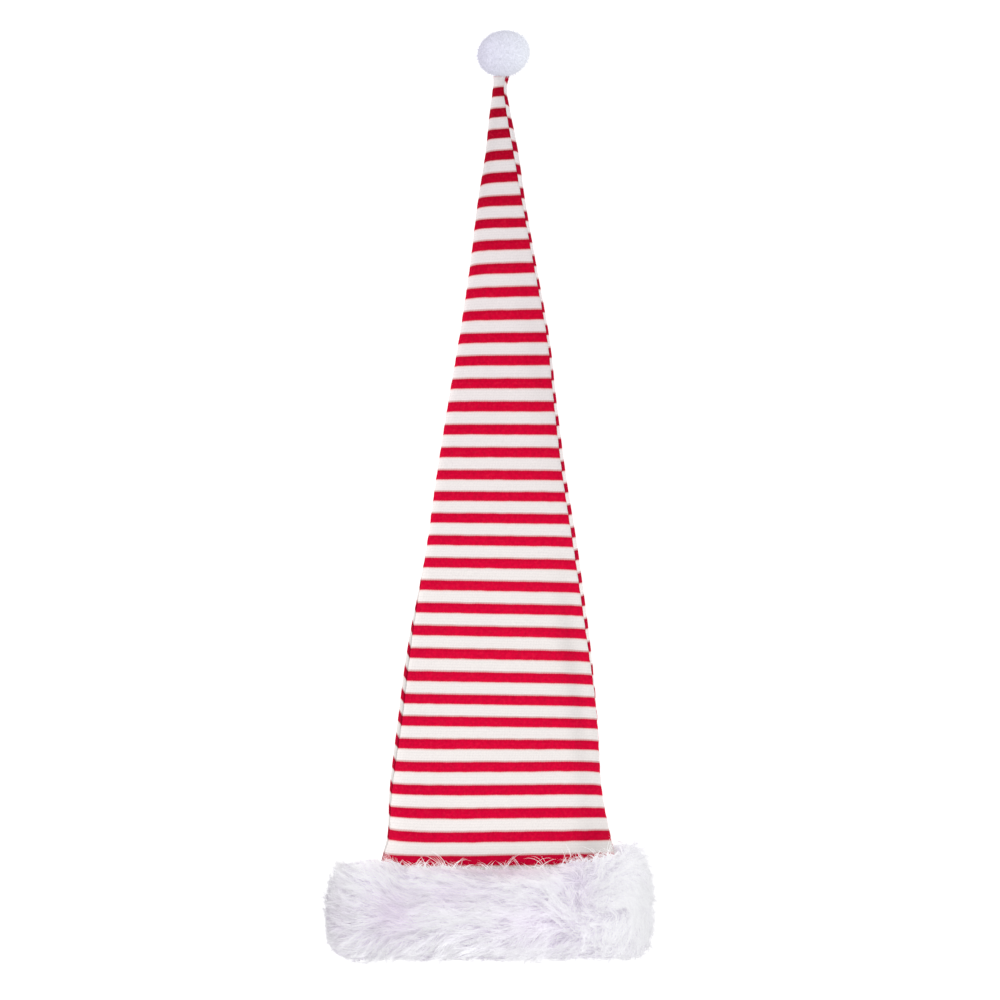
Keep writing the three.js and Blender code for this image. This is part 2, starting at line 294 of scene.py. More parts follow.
# Rounded outline that holds strands back at the cuff's ends and mouth: its middle, half its size, the radius
# of its corners, over what length it slows a strand, how uneven it is, and how it climbs right of a place
FUR_HOLD_MIDDLE = np.array((-2.0, -410.0))
FUR_HOLD_HALF = np.array((162.0, 53.0))
FUR_HOLD_ROUND = 26.0
FUR_HOLD_EASE = 9.0
FUR_HOLD_SLACK = 4.5
FUR_HOLD_CLIMB_FROM = 40.0
FUR_HOLD_CLIMB = 0.045

# Layers of the fur: locks and strands in each, points of a strand, its length and lift, how much it keeps
# its direction, share of wild locks, turn and sway, spread of a lock's roots, how its tip closes, thickness
LAYER_COLUMNS = ("name", "locks", "strands", "knots", "length", "lift", "stiffness", "wild", "turn", "sway",
                 "spread", "closing", "thickness")
FUR_LAYERS = (
    ("cuff_underfur", 1350, 8, 4, (16.0, 28.0), (0.5, 0.9), 0.3, 0.0, 0.25, 0.3, 2.8, 0.5, 0.75),
    ("cuff_locks_low", 1000, 8, 5, (34.0, 50.0), (0.7, 1.0), 0.4, 0.04, 0.22, 0.35, 1.9, 0.6, 0.58),
    ("cuff_locks_high", 1150, 6, 6, (42.0, 66.0), (0.85, 1.1), 0.45, 0.07, 0.25, 0.4, 1.3, 0.55, 0.46),
    ("cuff_hairs", 1400, 3, 5, (30.0, 54.0), (0.95, 1.15), 0.55, 0.10, 0.35, 0.4, 1.3, 0.4, 0.36),
)
FUR_SEED = 7
# Where roots stand on the way to the mouth, and where they are dense: off the floor, facing up, at the lip
ROOTS_BETWEEN = (0.002, 0.998)
ROOTS_OFF_FLOOR = (2.0, 12.0)
ROOTS_FACING_DOWN = 0.7
ROOTS_LEAST = 0.05
ROOTS_AT_LIP = (0.84, 0.92)
ROOTS_AT_LIP_SHARE = 0.7
# How a strand rises: start below the backing, share of its length on the way up, limits and fall of pitch
ROOT_SINK = 0.5
RISE_SHARE = 0.55
PITCH_LIMITS = (0.08, 1.3)
PITCH_FALL = 1.15
SWAY_STEP = 1.8
# Locks are shorter near the cuff's border and towards the right, and wilder near its border
BORDER_ENDS = (0.0, 40.0)
BORDER_EDGES = (0.0, 26.0)
SHORT_AT_RIGHT = (60.0, 110.0)
SHORT_AT_RIGHT_SHARE = 0.75
SHORTEST = 0.5
WILD_AT_BORDER = 1.5
WILD_LIFT = 1.5
WILD_STIFFNESS = 0.85
# How locks close, strands' frizz, trim, taper and range of thickness, and from what slope one is upright
CLOSING_POWER = 0.8
FRIZZ = 0.22
TRIM = (0.75, 1.0)
STRAND_TAPER = 0.45
STRAND_THICKNESSES = (0.75, 1.25)
STRAND_UPRIGHT = 0.9
# Painted shade of the fur across the hat, darkest at the left end, and how much locks and strands differ,
# more so at the left
FUR_SHADE_ACROSS = ((-165, 0.74), (-145, 0.86), (-107, 0.93), (0, 0.955), (120, 0.99), (165, 0.97))
LOCK_TONES = 0.045
STRAND_TONES = 0.02
UNEVEN_SIDES = (1.4, 0.55)
UNEVEN_ACROSS = (-60.0, 120.0)
# Soft marks of the fur: painted lilac shade in hollows, painted light at the paler end, painted red
# reflection and shade from the lowest stripe, and painted grey shade patches, where a depth below nothing
# is a painted lighter patch
FUR_MARKS = {
    "painted_tint": (
        (-98, -417, 26, 22, 10, 0.85),
        (-40, -397, 14, 42, 0, 0.6),
        (90, -391, 20, 14, 10, 0.55),
        (35, -425, 22, 40, 0, 0.35),
        (-152, -420, 40, 12, 0, 0.35),
    ),
    "pale_light": ((154, -410, 80, 50, 0, 1.0),),
    "red_reflection": ((15, -373, 9, 40, 0, 0.5), (-40, -370, 5, 55, 0, 0.45), (65, -368, 7, 30, 0, 0.2)),
}
FUR_SHADES = (
    (-124, -400, 40, 12, 0, -0.05),
    (-98, -400, 22, 12, 0, 0.035),
    (-20, -394, 14, 60, 0, 0.035),
    (40, -432, 14, 60, 0, -0.035),
    (140, -410, 60, 14, 0, -0.045),
    (108, -388, 18, 12, 0, 0.035),
)

# Pile inside the mouth: strands, how deep they start and crowd to the rim, how far they reach past it, their
# greatest lengths, and how they stand up, lean and curl
LIP_SEED = 41
LIP_STRANDS = 2600
LIP_KNOTS = 4
LIP_DEPTH = 34.0
LIP_CROWDING = 1.5
LIP_PAST_RIM = (1.0, 6.0)
LIP_LONGEST = (10.0, 22.0)
LIP_LIFT = (1.0, 4.0)
LIP_ARCH = 0.8
LIP_LEAN = 0.35
LIP_CURL = 0.5
LIP_SINK = 0.4
LIP_FACING = 0.8
LIP_THICKNESS = 0.6
LIP_REACH = (0.2, 1.0)

# Wisps that soften the outline: tufts, strands in each, how deep they start, how they lean with the fur and
# stray, and soft marks where they are longer
WISP_SEED = 53
WISP_TUFTS = 420
WISP_STRANDS = 4
WISP_KNOTS = 4
WISP_DEPTH = 3.0
WISP_OFF_FLOOR = (4.0, 16.0)
WISP_LENGTH = (4.0, 10.0)
WISP_LEAN = (0.2, 1.1)
WISP_STRAY = 0.25
WISP_BEND = 0.35
WISP_SPREAD = 0.8
WISP_SPLAY = 0.12
WISP_THICKNESS = 0.5
WISP_TONE = 0.9
WISP_REACH = (0.0, 0.5)
WISPS_LONGER = ((136, -352, 16, 20, 0, 1.8),)

# Loose hairs over the crown: place of each tuft across the hat, its spread, its short and long hairs, then
# how they start, lean and curl, and how bundles of a few splay
FRINGE_SEED = 29
FRINGE_TUFTS = (
    (-98, 6, 30, 0),
    (-72, 11, 54, 3),
    (-44, 11, 60, 9),
    (-7, 4, 6, 0),
    (20, 30, 12, 3),
    (57, 10, 9, 6),
    (82, 5, 12, 6),
    (112, 12, 27, 12),
    (126, 4, 54, 3),
)
FRINGE_LIMITS = (-106, 133)
FRINGE_KNOTS = 6
FRINGE_SHORT = (9.0, 17.0)
FRINGE_LONG = (17.0, 30.0)
FRINGE_START = (2.0, 6.0)
FRINGE_HEIGHT = (0.8, 3.5)
FRINGE_LEAN = 0.42
FRINGE_CURL = (0.04, 0.15)
FRINGE_LONG_CURL = 0.5
FRINGE_THICKNESS = 0.66
FRINGE_REACH = (0.5, 1.0)
FRINGE_BUNDLE = 3
BUNDLE_SPREAD = 1.6
BUNDLE_SPLAY = 0.12
BUNDLE_CURLS = (0.7, 1.3)
# Fuzz along the cuff's edge: from where to where across the hat, and how many hairs
FUZZ_STRETCHES = ((-106, -8, 560), (-8, 45, 40), (45, 122, 300))
FUZZ_LENGTH = (3.0, 9.0)
FUZZ_THICKNESS = 0.2

# Pompom, as in the model, and how far below its outline its core and roots lie
POMPOM_CENTRE = np.array((13.5, 439.2, 23.4))
POMPOM_HALF = np.array((26.3, 23.4, 24.4))
POMPOM_SKEW = 0.04
POMPOM_FLOOR = 0.3
POMPOM_CORE_INSET = 1.8
POMPOM_ROOT_INSET = 3.0
POMPOM_RINGS = 48
POMPOM_TURNS = 72
# Its fibres: number, inset of their tips, lean, and the share that stands out as fuzz and by how much
POMPOM_SEED = 17
POMPOM_FIBRES = 20000
POMPOM_TIP_INSET = (0.5, 0.4)
POMPOM_LEAN = 0.06
POMPOM_FUZZY = 0.25
POMPOM_FUZZ = 1.1
POMPOM_FIBRE_RADIUS = 0.4
POMPOM_FIBRE_RADII = (0.8, 1.2)
POMPOM_REACH = (0.4, 1.0)
POMPOM_CORE_REACH = 0.5
# Its colours, with painted shade at the left and painted light at the right, its painted brighter middle,
# and painted shade that darkens fibres to their roots
POMPOM_SHADED_LEFT = (0.64, 0.626, 0.728, 1)
POMPOM_LIT_RIGHT = (0.872, 0.892, 0.953, 1)
POMPOM_MIDDLE_LIGHT = 0.035
POMPOM_DEPTH_RANGE = (0.0, 0.7)
POMPOM_DEPTH_SHADES = (0.94, 1.0)
# Shares of its colour for the light on it and for a painted glow, and the glow's strength
POMPOM_BODY = 0.70
POMPOM_GLOW = 0.42


# Shares, tables and marks

def mix(start, end, share):
    return start + (end - start) * share


def rising(value, start, end):
    """0 up to start, 1 from end, and a smooth step between."""
    share = np.clip((value - start) / (end - start), 0.0, 1.0)
    return share * share * (3 - 2 * share)


def unit(vectors):
    return vectors / np.maximum(np.linalg.norm(vectors, axis=-1, keepdims=True), TINY)


def smooth_rows(columns, rows, places):
    """Columns of a table on smooth curves through its rows."""
    table = np.array(sorted(rows), dtype=float)
    knots = table[:, 0]
    padded = np.concatenate([table[:1], table, table[-1:]])
    across = padded[2:] - padded[:-2]
    slopes = across / across[:, :1]
    places = np.clip(places, knots[0], knots[-1])
    index = np.clip(np.searchsorted(knots, places, side="right") - 1, 0, len(knots) - 2)
    span = (knots[index + 1] - knots[index])[..., None]
    share = (places - knots[index])[..., None] / span
    rest = 1 - share
    values = table[index] * (1 + 2 * share) * rest**2 + slopes[index] * span * share * rest**2
    values += table[index + 1] * share**2 * (3 - 2 * share) - slopes[index + 1] * span * share**2 * rest
    return dict(zip(columns, np.moveaxis(values, -1, 0)))


def soft_marks(rows, points):
    """Sum of soft marks, such as folds, seen from above."""
    total = np.zeros(points.shape[:-1])
    for across, along, length, width, lean, depth in rows:
        side = points[..., 0] - across
        ahead = points[..., 1] - along
        angle = math.radians(lean)
        sideways = side * math.cos(angle) + ahead * math.sin(angle)
        lengthways = ahead * math.cos(angle) - side * math.sin(angle)
        total += depth * np.exp(-((sideways / width) ** 2) - (lengthways / length) ** 2)
    return total


def soft_noise(points, scale, seed):
    """Smooth values from about -1 to 1, from a few seeded waves."""
    rng = np.random.default_rng(seed)
    total = np.zeros(points.shape[:-1])
    for _ in range(NOISE_WAVES):
        direction = unit(rng.normal(size=3))
        length = scale * rng.uniform(*NOISE_LENGTHS)
        total += np.sin(points @ direction * (2 * math.pi / length) + rng.uniform(0, 2 * math.pi))
    return total / NOISE_HEIGHT


# Sections and rows of points

def crown_section(along):
    section = smooth_rows(SECTION_COLUMNS, CROWN_SECTIONS, along)
    section["floor"] = np.maximum(section["floor"], 0.0)
    return section


def section_shape(section):
    """Middle, half width, edge height and roll radius of sections."""
    middle = (section["left"] + section["right"]) / 2
    half = (section["right"] - section["left"]) / 2
    edge = mix(section["floor"], section["rise"], EDGE_SHARE)
    roll = np.minimum(half, (section["rise"] - section["floor"]) / 2)
    return middle, half, edge, roll


def closed_loop(*quarters):
    """Outlines joined from their quarters, every second one run backwards."""
    runs = [quarter[:, :0:-1] if number % 2 else quarter[:, :-1] for number, quarter in enumerate(quarters)]
    return np.concatenate(runs, axis=1)


def section_loops(section, roll_steps, flat_steps):
    """Outlines of sections, from the right edge over the top to the left and back under."""
    section = {side: np.reshape(section[side], (-1, 1)) for side in CUFF}
    middle, half, edge, roll = section_shape(section)
    turn = np.linspace(0, math.pi / 2, roll_steps, endpoint=False)
    flat = np.linspace(0, 1, flat_steps + 1)
    inset = np.concatenate([roll * (1 - np.cos(turn)), mix(roll, half, flat)], axis=1)
    fullness = np.append(np.sin(turn), np.ones(flat_steps + 1))
    across = half - inset
    over = edge + (section["rise"] - edge) * fullness * (1 - DOME * (across / half) ** 2)
    under = edge - (edge - section["floor"]) * fullness
    right = middle + across
    left = middle - across
    return closed_loop(right, left, left, right), closed_loop(over, over, under, under)


def crown_top(across, along):
    """Height of the crown's top at places seen from above."""
    section = crown_section(along)
    middle, half, edge, roll = section_shape(section)
    offset = np.minimum(np.abs(across - middle), half)
    inset = np.clip((half - offset) / roll, 0, 1)
    fullness = np.sqrt(1 - (1 - inset) ** 2)
    return edge + (section["rise"] - edge) * fullness * (1 - DOME * (offset / half) ** 2)


def run_lengths(points):
    """Distances along each row of a grid of points."""
    steps = np.linalg.norm(np.diff(points, axis=1), axis=-1)
    return np.concatenate([np.zeros((len(points), 1)), np.cumsum(steps, axis=1)], axis=1)


def read_along(points, distances, places):
    """Points at given distances along each row of a grid of points."""
    result = np.empty((*places.shape, 3))
    for row in range(len(points)):
        for axis in range(3):
            result[row, :, axis] = np.interp(places[row], distances[row], points[row, :, axis])
    return result


def resampled(points, count):
    """Points evenly spaced along each row of a grid of points."""
    distances = run_lengths(points)
    return read_along(points, distances, np.linspace(0, distances[:, -1], count, axis=1))


# Meshes from arrays

def added(name, data):
    """A new object in the scene."""
    thing = bpy.data.objects.new(name, data)
    bpy.context.scene.collection.objects.link(thing)
    return thing


def mesh_object(name, vertices, faces, material, attributes):
    """An object from vertices in millimetres and faces given as arrays of quads and triangles."""
    mesh = bpy.data.meshes.new(name)
    mesh.vertices.add(len(vertices))
    mesh.vertices.foreach_set("co", (np.asarray(vertices) * MM).astype(np.float32).ravel())
    corners = np.concatenate([np.asarray(group, dtype=np.int32).ravel() for group in faces])
    sizes = np.concatenate([np.full(len(group), group.shape[1], dtype=np.int32) for group in faces])
    mesh.loops.add(len(corners))
    mesh.loops.foreach_set("vertex_index", corners)
    mesh.polygons.add(len(sizes))
    mesh.polygons.foreach_set("loop_start", (np.cumsum(sizes) - sizes).astype(np.int32))
    mesh.polygons.foreach_set("use_smooth", np.ones(len(sizes), dtype=bool))
    for label, values in attributes.items():
        layer = mesh.attributes.new(label, "FLOAT", "POINT")
        layer.data.foreach_set("value", np.asarray(values, dtype=np.float32).ravel())
    mesh.update(calc_edges=True)
    mesh.validate()
    mesh.materials.append(material)
    return added(name, mesh)


def grid_quads(rows, columns, close_rows=False, close_columns=False):
    """Quads of a grid of points, whose rows or columns may close on themselves."""
    row = np.arange(rows if close_rows else rows - 1)[:, None]
    column = np.arange(columns if close_columns else columns - 1)[None, :]
    next_row = (row + 1) % rows
    following = (column + 1) % columns
    quads = [row * columns + column, row * columns + following]
    quads += [next_row * columns + following, next_row * columns + column]
    return np.stack(quads, axis=-1).reshape(-1, 4)


def grid_normals(points):
    """Unit normals of a grid of points."""
    return unit(np.cross(np.gradient(points, axis=1), np.gradient(points, axis=0)))


# Material nodes

class Nodes:
    """A new material's nodes. Most calls add one and give its output."""

    def __init__(self, name):
        self.material = bpy.data.materials.new(name)
        self.material.use_nodes = True
        self.tree = self.material.node_tree
        self.shader = self.tree.nodes["Principled BSDF"]

    def fill(self, node, inputs):
        """Links sockets to a node's inputs, or sets the inputs to constants."""
        for label, value in inputs.items():
            if isinstance(value, bpy.types.NodeSocket):
                self.tree.links.new(value, node.inputs[label])
            else:
                node.inputs[label].default_value = value

    def surface(self, inputs):
        self.fill(self.shader, inputs)

    def outputs(self, kind, inputs, **settings):
        """Outputs of a new node."""
        node = self.tree.nodes.new("ShaderNode" + kind)
        for label, value in settings.items():
            setattr(node, label, value)
        self.fill(node, inputs)
        return node.outputs

    def calc(self, operation, *values):
        return self.outputs("Math", dict(enumerate(values)), operation=operation)[0]

    def times(self, product, *values):
        for value in values:
            product = self.calc("MULTIPLY", product, value)
        return product

    def spread(self, share, low, high):
        """A share from 0 to 1 spread between two values."""
        return self.calc("MULTIPLY_ADD", share, high - low, low)

    def attribute(self, name):
        return self.outputs("Attribute", {}, attribute_name=name)["Fac"]

    def ramp(self, value, low, high):
        """0 up to low, 1 from high, with a smooth step between."""
        inputs = {"Value": value, "From Min": low, "From Max": high}
        return self.outputs("MapRange", inputs, interpolation_type="SMOOTHSTEP")["Result"]

    def band(self, value, low, high, soft):
        """1 between low and high, falling to 0 over a soft edge at each side."""
        edges = [self.ramp(value, edge - soft / 2, edge + soft / 2) for edge in (low, high)]
        return self.calc("SUBTRACT", *edges)

    def blend(self, share, first, second, mode="MIX"):
        inputs = {"Factor": share, "A": first, "B": second}
        outputs = self.outputs("Mix", inputs, data_type="RGBA", blend_type=mode)
        return [output for output in outputs if output.type == "RGBA"][0]

    def shaded(self, colour, value):
        """A colour multiplied by a single value."""
        grey = self.outputs("CombineColor", dict.fromkeys(range(3), value))[0]
        return self.blend(1.0, colour, grey, "MULTIPLY")

    def noise(self, scale, detail=2.0):
        place = self.outputs("TexCoord", {})["Object"]
        return self.outputs("TexNoise", {"Scale": scale, "Detail": detail, "Vector": place})["Fac"]

    def uneven(self, scale, detail, low, high):
        return self.spread(self.noise(scale, detail), low, high)

    def bump(self, height, strength, distance):
        inputs = {"Strength": strength, "Distance": distance * MM, "Height": height}
        self.surface({"Normal": self.outputs("Bump", inputs)["Normal"]})


def stitches(nodes, course_height, wale_width):
    """Stitches: their relief, the lines of their courses, and nearness to their wales' edges."""
    columns = nodes.calc("DIVIDE", nodes.attribute("wale"), wale_width)
    beside = nodes.times(nodes.calc("PINGPONG", columns, 0.5), 2.0)
    courses = nodes.calc("DIVIDE", nodes.attribute("course"), course_height)
    phase = nodes.calc("MULTIPLY_ADD", beside, STITCH_SLANT, courses)
    ridge = nodes.calc("SINE", nodes.times(phase, 2 * math.pi))
    lines = nodes.calc("SINE", nodes.times(courses, math.pi))
    valley = nodes.calc("POWER", beside, STITCH_VALLEY_POWER)
    relief = nodes.calc("SUBTRACT", nodes.times(ridge, STITCH_RIDGE), valley)
    return relief, lines, beside


def jersey_material():
    """Knitted stripes, with a tan thread along the top of each red one."""
    nodes = Nodes("striped_jersey")
    course = nodes.attribute("course")
    stitch, lines, beside = stitches(nodes, COURSE_HEIGHT, WALE_WIDTH)
    swayed = nodes.calc("ADD", course, nodes.spread(beside, *STITCH_SWAY))
    waved = nodes.calc("ADD", swayed, nodes.uneven(*STRIPE_UNEVEN))
    top = STRIPE_PITCH / 4
    foot = top + RED_WIDTH
    place = nodes.calc("FLOORED_MODULO", nodes.calc("SUBTRACT", waved, LOWEST_RED_ROW - top), STRIPE_PITCH)
    red = nodes.band(place, top, foot, STRIPE_SOFT)
    thread = nodes.band(place, top + TAN_BAND[0], top + TAN_BAND[1], TAN_BAND[2])
    warm = nodes.band(place, foot + WARM_BAND[0], foot + WARM_BAND[1], WARM_BAND[2])
    white = WHITE_YARN_SHADED_TIP
    reds = RED_YARN_SHADED_TIP
    # Painted shade: the yarn darkens towards the tip
    for rows, next_white, next_red in YARN_SHADE_STEPS:
        share = nodes.ramp(course, *rows)
        white = nodes.blend(share, white, next_white)
        reds = nodes.blend(share, reds, next_red)
    # Painted shade deepens the red where the cloth turns round a side
    reds = nodes.blend(nodes.times(nodes.attribute("turned_shade"), RED_TURNED_SHADE_SHARE), reds, RED_TURNED_SHADE)
    lit = nodes.spread(nodes.ramp(place, top, top + RED_SHADE_WIDTH * RED_WIDTH), *RED_SHADE)
    reds = nodes.shaded(reds, nodes.times(lit, nodes.uneven(*RED_UNEVEN)))
    flecks = nodes.times(nodes.ramp(nodes.noise(FLECK_NOISE), *FLECK_RANGE), FLECK_SHARE)
    cloth = nodes.blend(red, white, nodes.blend(flecks, reds, RED_FLECK))
    cloth = nodes.blend(nodes.times(warm, WARM_SHARE), cloth, WARM_EDGE)
    fibres = nodes.noise(FIBRE_NOISE)
    cloth = nodes.blend(nodes.times(thread, nodes.spread(fibres, *TAN_TWINKLE)), cloth, TAN_THREAD)
    # Painted shade in the stitches' hollows and along courses, and the cloth's painted shade and light
    shade = nodes.times(
        nodes.spread(lines, *COURSE_SHADE),
        nodes.calc("MULTIPLY_ADD", stitch, *STITCH_SHADE),
        nodes.spread(fibres, *FIBRE_SHADE),
        nodes.attribute("tone_and_shade"),
    )
    nodes.surface({"Base Color": nodes.shaded(cloth, shade), "Roughness": 0.9, "Specular IOR Level": 0.03})
    nodes.bump(nodes.calc("MULTIPLY_ADD", lines, COURSE_RELIEF, stitch), *JERSEY_BUMP)
    return nodes.material


def soft_fibre(nodes, colour, body, glow_share, glow):
    """Pale fibres, with shares of their colour for the light on them and for a painted glow."""
    nodes.surface({
        "Base Color": nodes.shaded(colour, body),
        "Emission Color": nodes.shaded(colour, glow_share),
        "Emission Strength": glow,
    })


def fur_material():
    """Long soft fibres, painted darker at the root and in lilac hollows, white at the tip, with a painted
    glow.
    """
    nodes = Nodes("cuff_fur")
    reach = nodes.attribute("reach")
    pale_light = nodes.attribute("pale_light")
    lilac_shade = nodes.times(nodes.attribute("painted_tint"), nodes.uneven(*LILAC_UNEVEN))
    colour = FUR_ROOT_SHADE
    for shares, following in FUR_STEPS:
        colour = nodes.blend(nodes.ramp(reach, *shares), colour, following)
    for share, painted_tint in ((lilac_shade, FUR_LILAC_SHADE), (pale_light, FUR_PALE_LIGHT), (nodes.attribute("red_reflection"), FUR_RED_REFLECTION)):
        colour = nodes.blend(share, colour, painted_tint)
    colour = nodes.shaded(colour, nodes.attribute("tone_and_shade"))
    soft_fibre(nodes, colour, nodes.spread(pale_light, *FUR_BODY), nodes.spread(pale_light, *FUR_GLOW_SHARES), FUR_GLOW)
    nodes.surface({"Roughness": 0.55, "Specular IOR Level": 0.25})
    return nodes.material


def cuff_base_material():
    """Dense underfur in painted lilac shade outside; plain knitted backing with painted shade in the mouth.
    """
    nodes = Nodes("cuff_base")
    down = nodes.noise(*DOWN_NOISE)
    stitch, _, _ = stitches(nodes, BACKING_COURSE, BACKING_WALE)
    hollow = nodes.times(nodes.ramp(stitch, *BACKING_HOLLOW), nodes.uneven(*BACKING_UNEVEN))
    backing = nodes.blend(hollow, BACKING_WHITE, BACKING_SHADE)
    cloth = nodes.blend(nodes.attribute("lining"), nodes.blend(down, FUR_ROOT_SHADE, FUR_MIDDLE_SHADE), backing)
    nodes.surface({"Base Color": cloth, "Roughness": 0.9, "Sheen Weight": 0.2})
    nodes.bump(nodes.calc("ADD", stitch, down), *BACKING_BUMP)
    return nodes.material


def pompom_material():
    """Short dense fibres, cool white with painted shade to the left, a painted glow, and faint darker tufts.
    """
    nodes = Nodes("pompom_fibre")
    depth = nodes.spread(nodes.ramp(nodes.attribute("reach"), *POMPOM_DEPTH_RANGE), *POMPOM_DEPTH_SHADES)
    tone_and_shade = nodes.times(depth, nodes.uneven(*POMPOM_UNEVEN), nodes.attribute("tone_and_shade"))
    colour = nodes.blend(nodes.attribute("side"), POMPOM_SHADED_LEFT, POMPOM_LIT_RIGHT)
    soft_fibre(nodes, nodes.shaded(colour, tone_and_shade), POMPOM_BODY, 1.0, POMPOM_GLOW)
    nodes.surface({"Roughness": 0.8, "Specular IOR Level": 0.1})
    return nodes.material


# Jersey panels

def ripple(distance, height, length, wander, wander_length):
    """Small waves whose spacing wanders a little."""
    return height * np.sin(distance / length + wander * np.sin(distance / wander_length))


def cloth_relief(points, around):
    """Swells of the cloth off its section: waves, puckers, gathers and seam dips."""
    across = points[..., 0]
    along = points[..., 1]
    seam_distance = np.minimum(around - around[:, :1], around[:, -1:] - around)
    waves = np.zeros_like(across)
    for height, along_length, across_length, phase in CLOTH_WAVES:
        waves += height * np.sin(along / along_length + across / across_length + phase)
    waves *= rising(seam_distance, *WAVES_FROM_SEAM)
    puckers = ripple(along, *PUCKERS) * np.exp(-((seam_distance / PUCKER_REACH) ** 2))
    gathers = ripple(around, *GATHERS) * rising(along, *GATHERS_ALONG)
    dip = SEAM_DIP * np.exp(-((seam_distance / SEAM_DIP_WIDTH) ** 2))
    return waves + puckers + gathers - dip


def front_courses(level, around, whole, lie):
    """Knitted course on the front panel, in rows of the photograph."""
    from_middle = whole / 4 - around
    out = from_middle / (whole / 4)
    hang = lie["left_droop"] * np.clip(-out, 0, DROOP_LIMIT) ** LEFT_DROOP_POWER
    hang += lie["right_droop"] * np.clip(out, 0, DROOP_LIMIT) ** RIGHT_DROOP_POWER
    return level - lie["drift"] - lie["slope"] * from_middle - hang


def back_courses(level, around, front, lie):
    """The same on the back: level with the front at the left seam, stepped at the right."""
    from_left = around - around[:, :1]
    plain = level + lie["left_climb"] * (1 - np.exp(-from_left / CLIMB_REACH))
    at_left = front[:, -1:] - plain[:, :1]
    at_right = front[:, :1] + lie["back_step"] - plain[:, -1:]
    return plain + mix(at_left, at_right, from_left / from_left[:, -1:])


def cloth_shades(points, around, front):
    """Painted shade and light on the cloth, and how far it turns away, where painted shade deepens its red.
    """
    shades = 1 - soft_marks(CROWN_PAINTED_SHADES, points)
    if front:
        turned_shade = FRONT_TURN_SHADE * np.exp(-(around[:, -1:] - around) / FRONT_TURN_REACH)
    else:
        by_left = np.exp(-(around - around[:, :1]) / TURN_REACH)
        by_right = np.exp(-(around[:, -1:] - around) / TURN_REACH)
        shades *= 1 - TURN_SHADE * by_left * rising(points[..., 1], *TURN_ALONG)
        shades *= 1 + TURN_LIGHT * by_right
        turned_shade = np.maximum(by_left, by_right)
    return shades, turned_shade


def crown_panels():
    """Both panels' outer faces, front first: points, distances round, and attributes."""
    along = np.linspace(CROWN_SECTIONS[0][0], CROWN_SECTIONS[-1][0], PANEL_ROWS)[:, None]
    section = crown_section(along)
    middle, _, edge, _ = section_shape(section)
    x, z = section_loops(section, *PANEL_QUARTER)
    loops = np.stack([x, np.broadcast_to(along, x.shape), z], axis=-1)
    loops = np.concatenate([loops, loops[:, :1]], axis=1)
    distances = run_lengths(loops)
    whole = distances[:, -1:]
    right_seam = section["roll_right"]
    left_seam = distances[:, x.shape[1] // 2, None] - section["roll_left"]
    even = np.linspace(0, 1, PANEL_COLUMNS)
    crowded = mix(even, (1 - np.cos(math.pi * even)) / 2, EDGE_CROWDING)
    row = PHOTO_ROW_OF_ORIGIN - along
    lie = smooth_rows(STRIPE_COLUMNS, STRIPE_LIE, row)
    panels = []
    for front, start, end in ((True, right_seam, left_seam), (False, left_seam, whole + right_seam)):
        around = mix(start + SEAM_GAP / 2, end - SEAM_GAP / 2, crowded)
        points = read_along(loops, distances, around % whole)
        height = np.clip((points[..., 2] - edge) / (section["rise"] - edge), 0, 1)
        points[..., 2] -= height * soft_marks(CROWN_FOLDS, points)
        panel_middle = whole * (0.25 if front else 0.75)
        rolled = np.abs(around - panel_middle) - np.abs(points[..., 0] - middle)
        level = row - SEAM_LEAN * rolled
        if front:
            courses = front_courses(level, around, whole, lie)
        else:
            courses = back_courses(level, around, courses, lie)
        shades, turned_shade = cloth_shades(points, around, front)
        panels.append((points, around, {"course": courses, "wale": around, "tone_and_shade": shades, "turned_shade": turned_shade}))
    return panels


def panel_piece(name, points, around, looks, material):
    """A jersey panel as a wall of even thickness."""
    outer = points + grid_normals(points) * cloth_relief(points, around)[..., None]
    outer[..., 2] = np.maximum(outer[..., 2], 0.0)
    inner = outer - CLOTH * grid_normals(outer)
    outside = grid_quads(PANEL_ROWS, PANEL_COLUMNS)
    count = PANEL_ROWS * PANEL_COLUMNS
    index = np.arange(count).reshape(PANEL_ROWS, PANEL_COLUMNS)
    faces = [outside, outside[:, ::-1] + count]
    for border in (index[0, :], index[::-1, 0], index[-1, ::-1], index[:, -1]):
        faces.append(np.stack([border[1:], border[:-1], border[:-1] + count, border[1:] + count], axis=-1))
    vertices = np.concatenate([outer.reshape(-1, 3), inner.reshape(-1, 3)])
    attributes = {label: np.tile(values.ravel(), 2) for label, values in looks.items()}
    return mesh_object(name, vertices, faces, material, attributes)


# Fur cuff surface

def cuff_hollow(along):
    """Section of the cuff's hollow: round the tucked crown, then out to the mouth."""
    tuck_end = CROWN_SECTIONS[-1][0]
    crown = crown_section(np.maximum(along, tuck_end))
    share = rising(along, tuck_end, CUFF_MOUTH_END)
    outward = {"left": -1, "right": 1, "rise": 1, "floor": -1}
    return {side: mix(crown[side] + outward[side] * CUFF_CLEARANCE, MOUTH[side], share) for side in MOUTH}


def cuff_crown_edge(across):
    """Where the cuff's edge lies on the crown."""
    edge = np.full_like(across, CUFF_CROWN_END)
    for rise, start, end in CUFF_END_RISES:
        edge += rise * rising(across, start, end)
    return edge


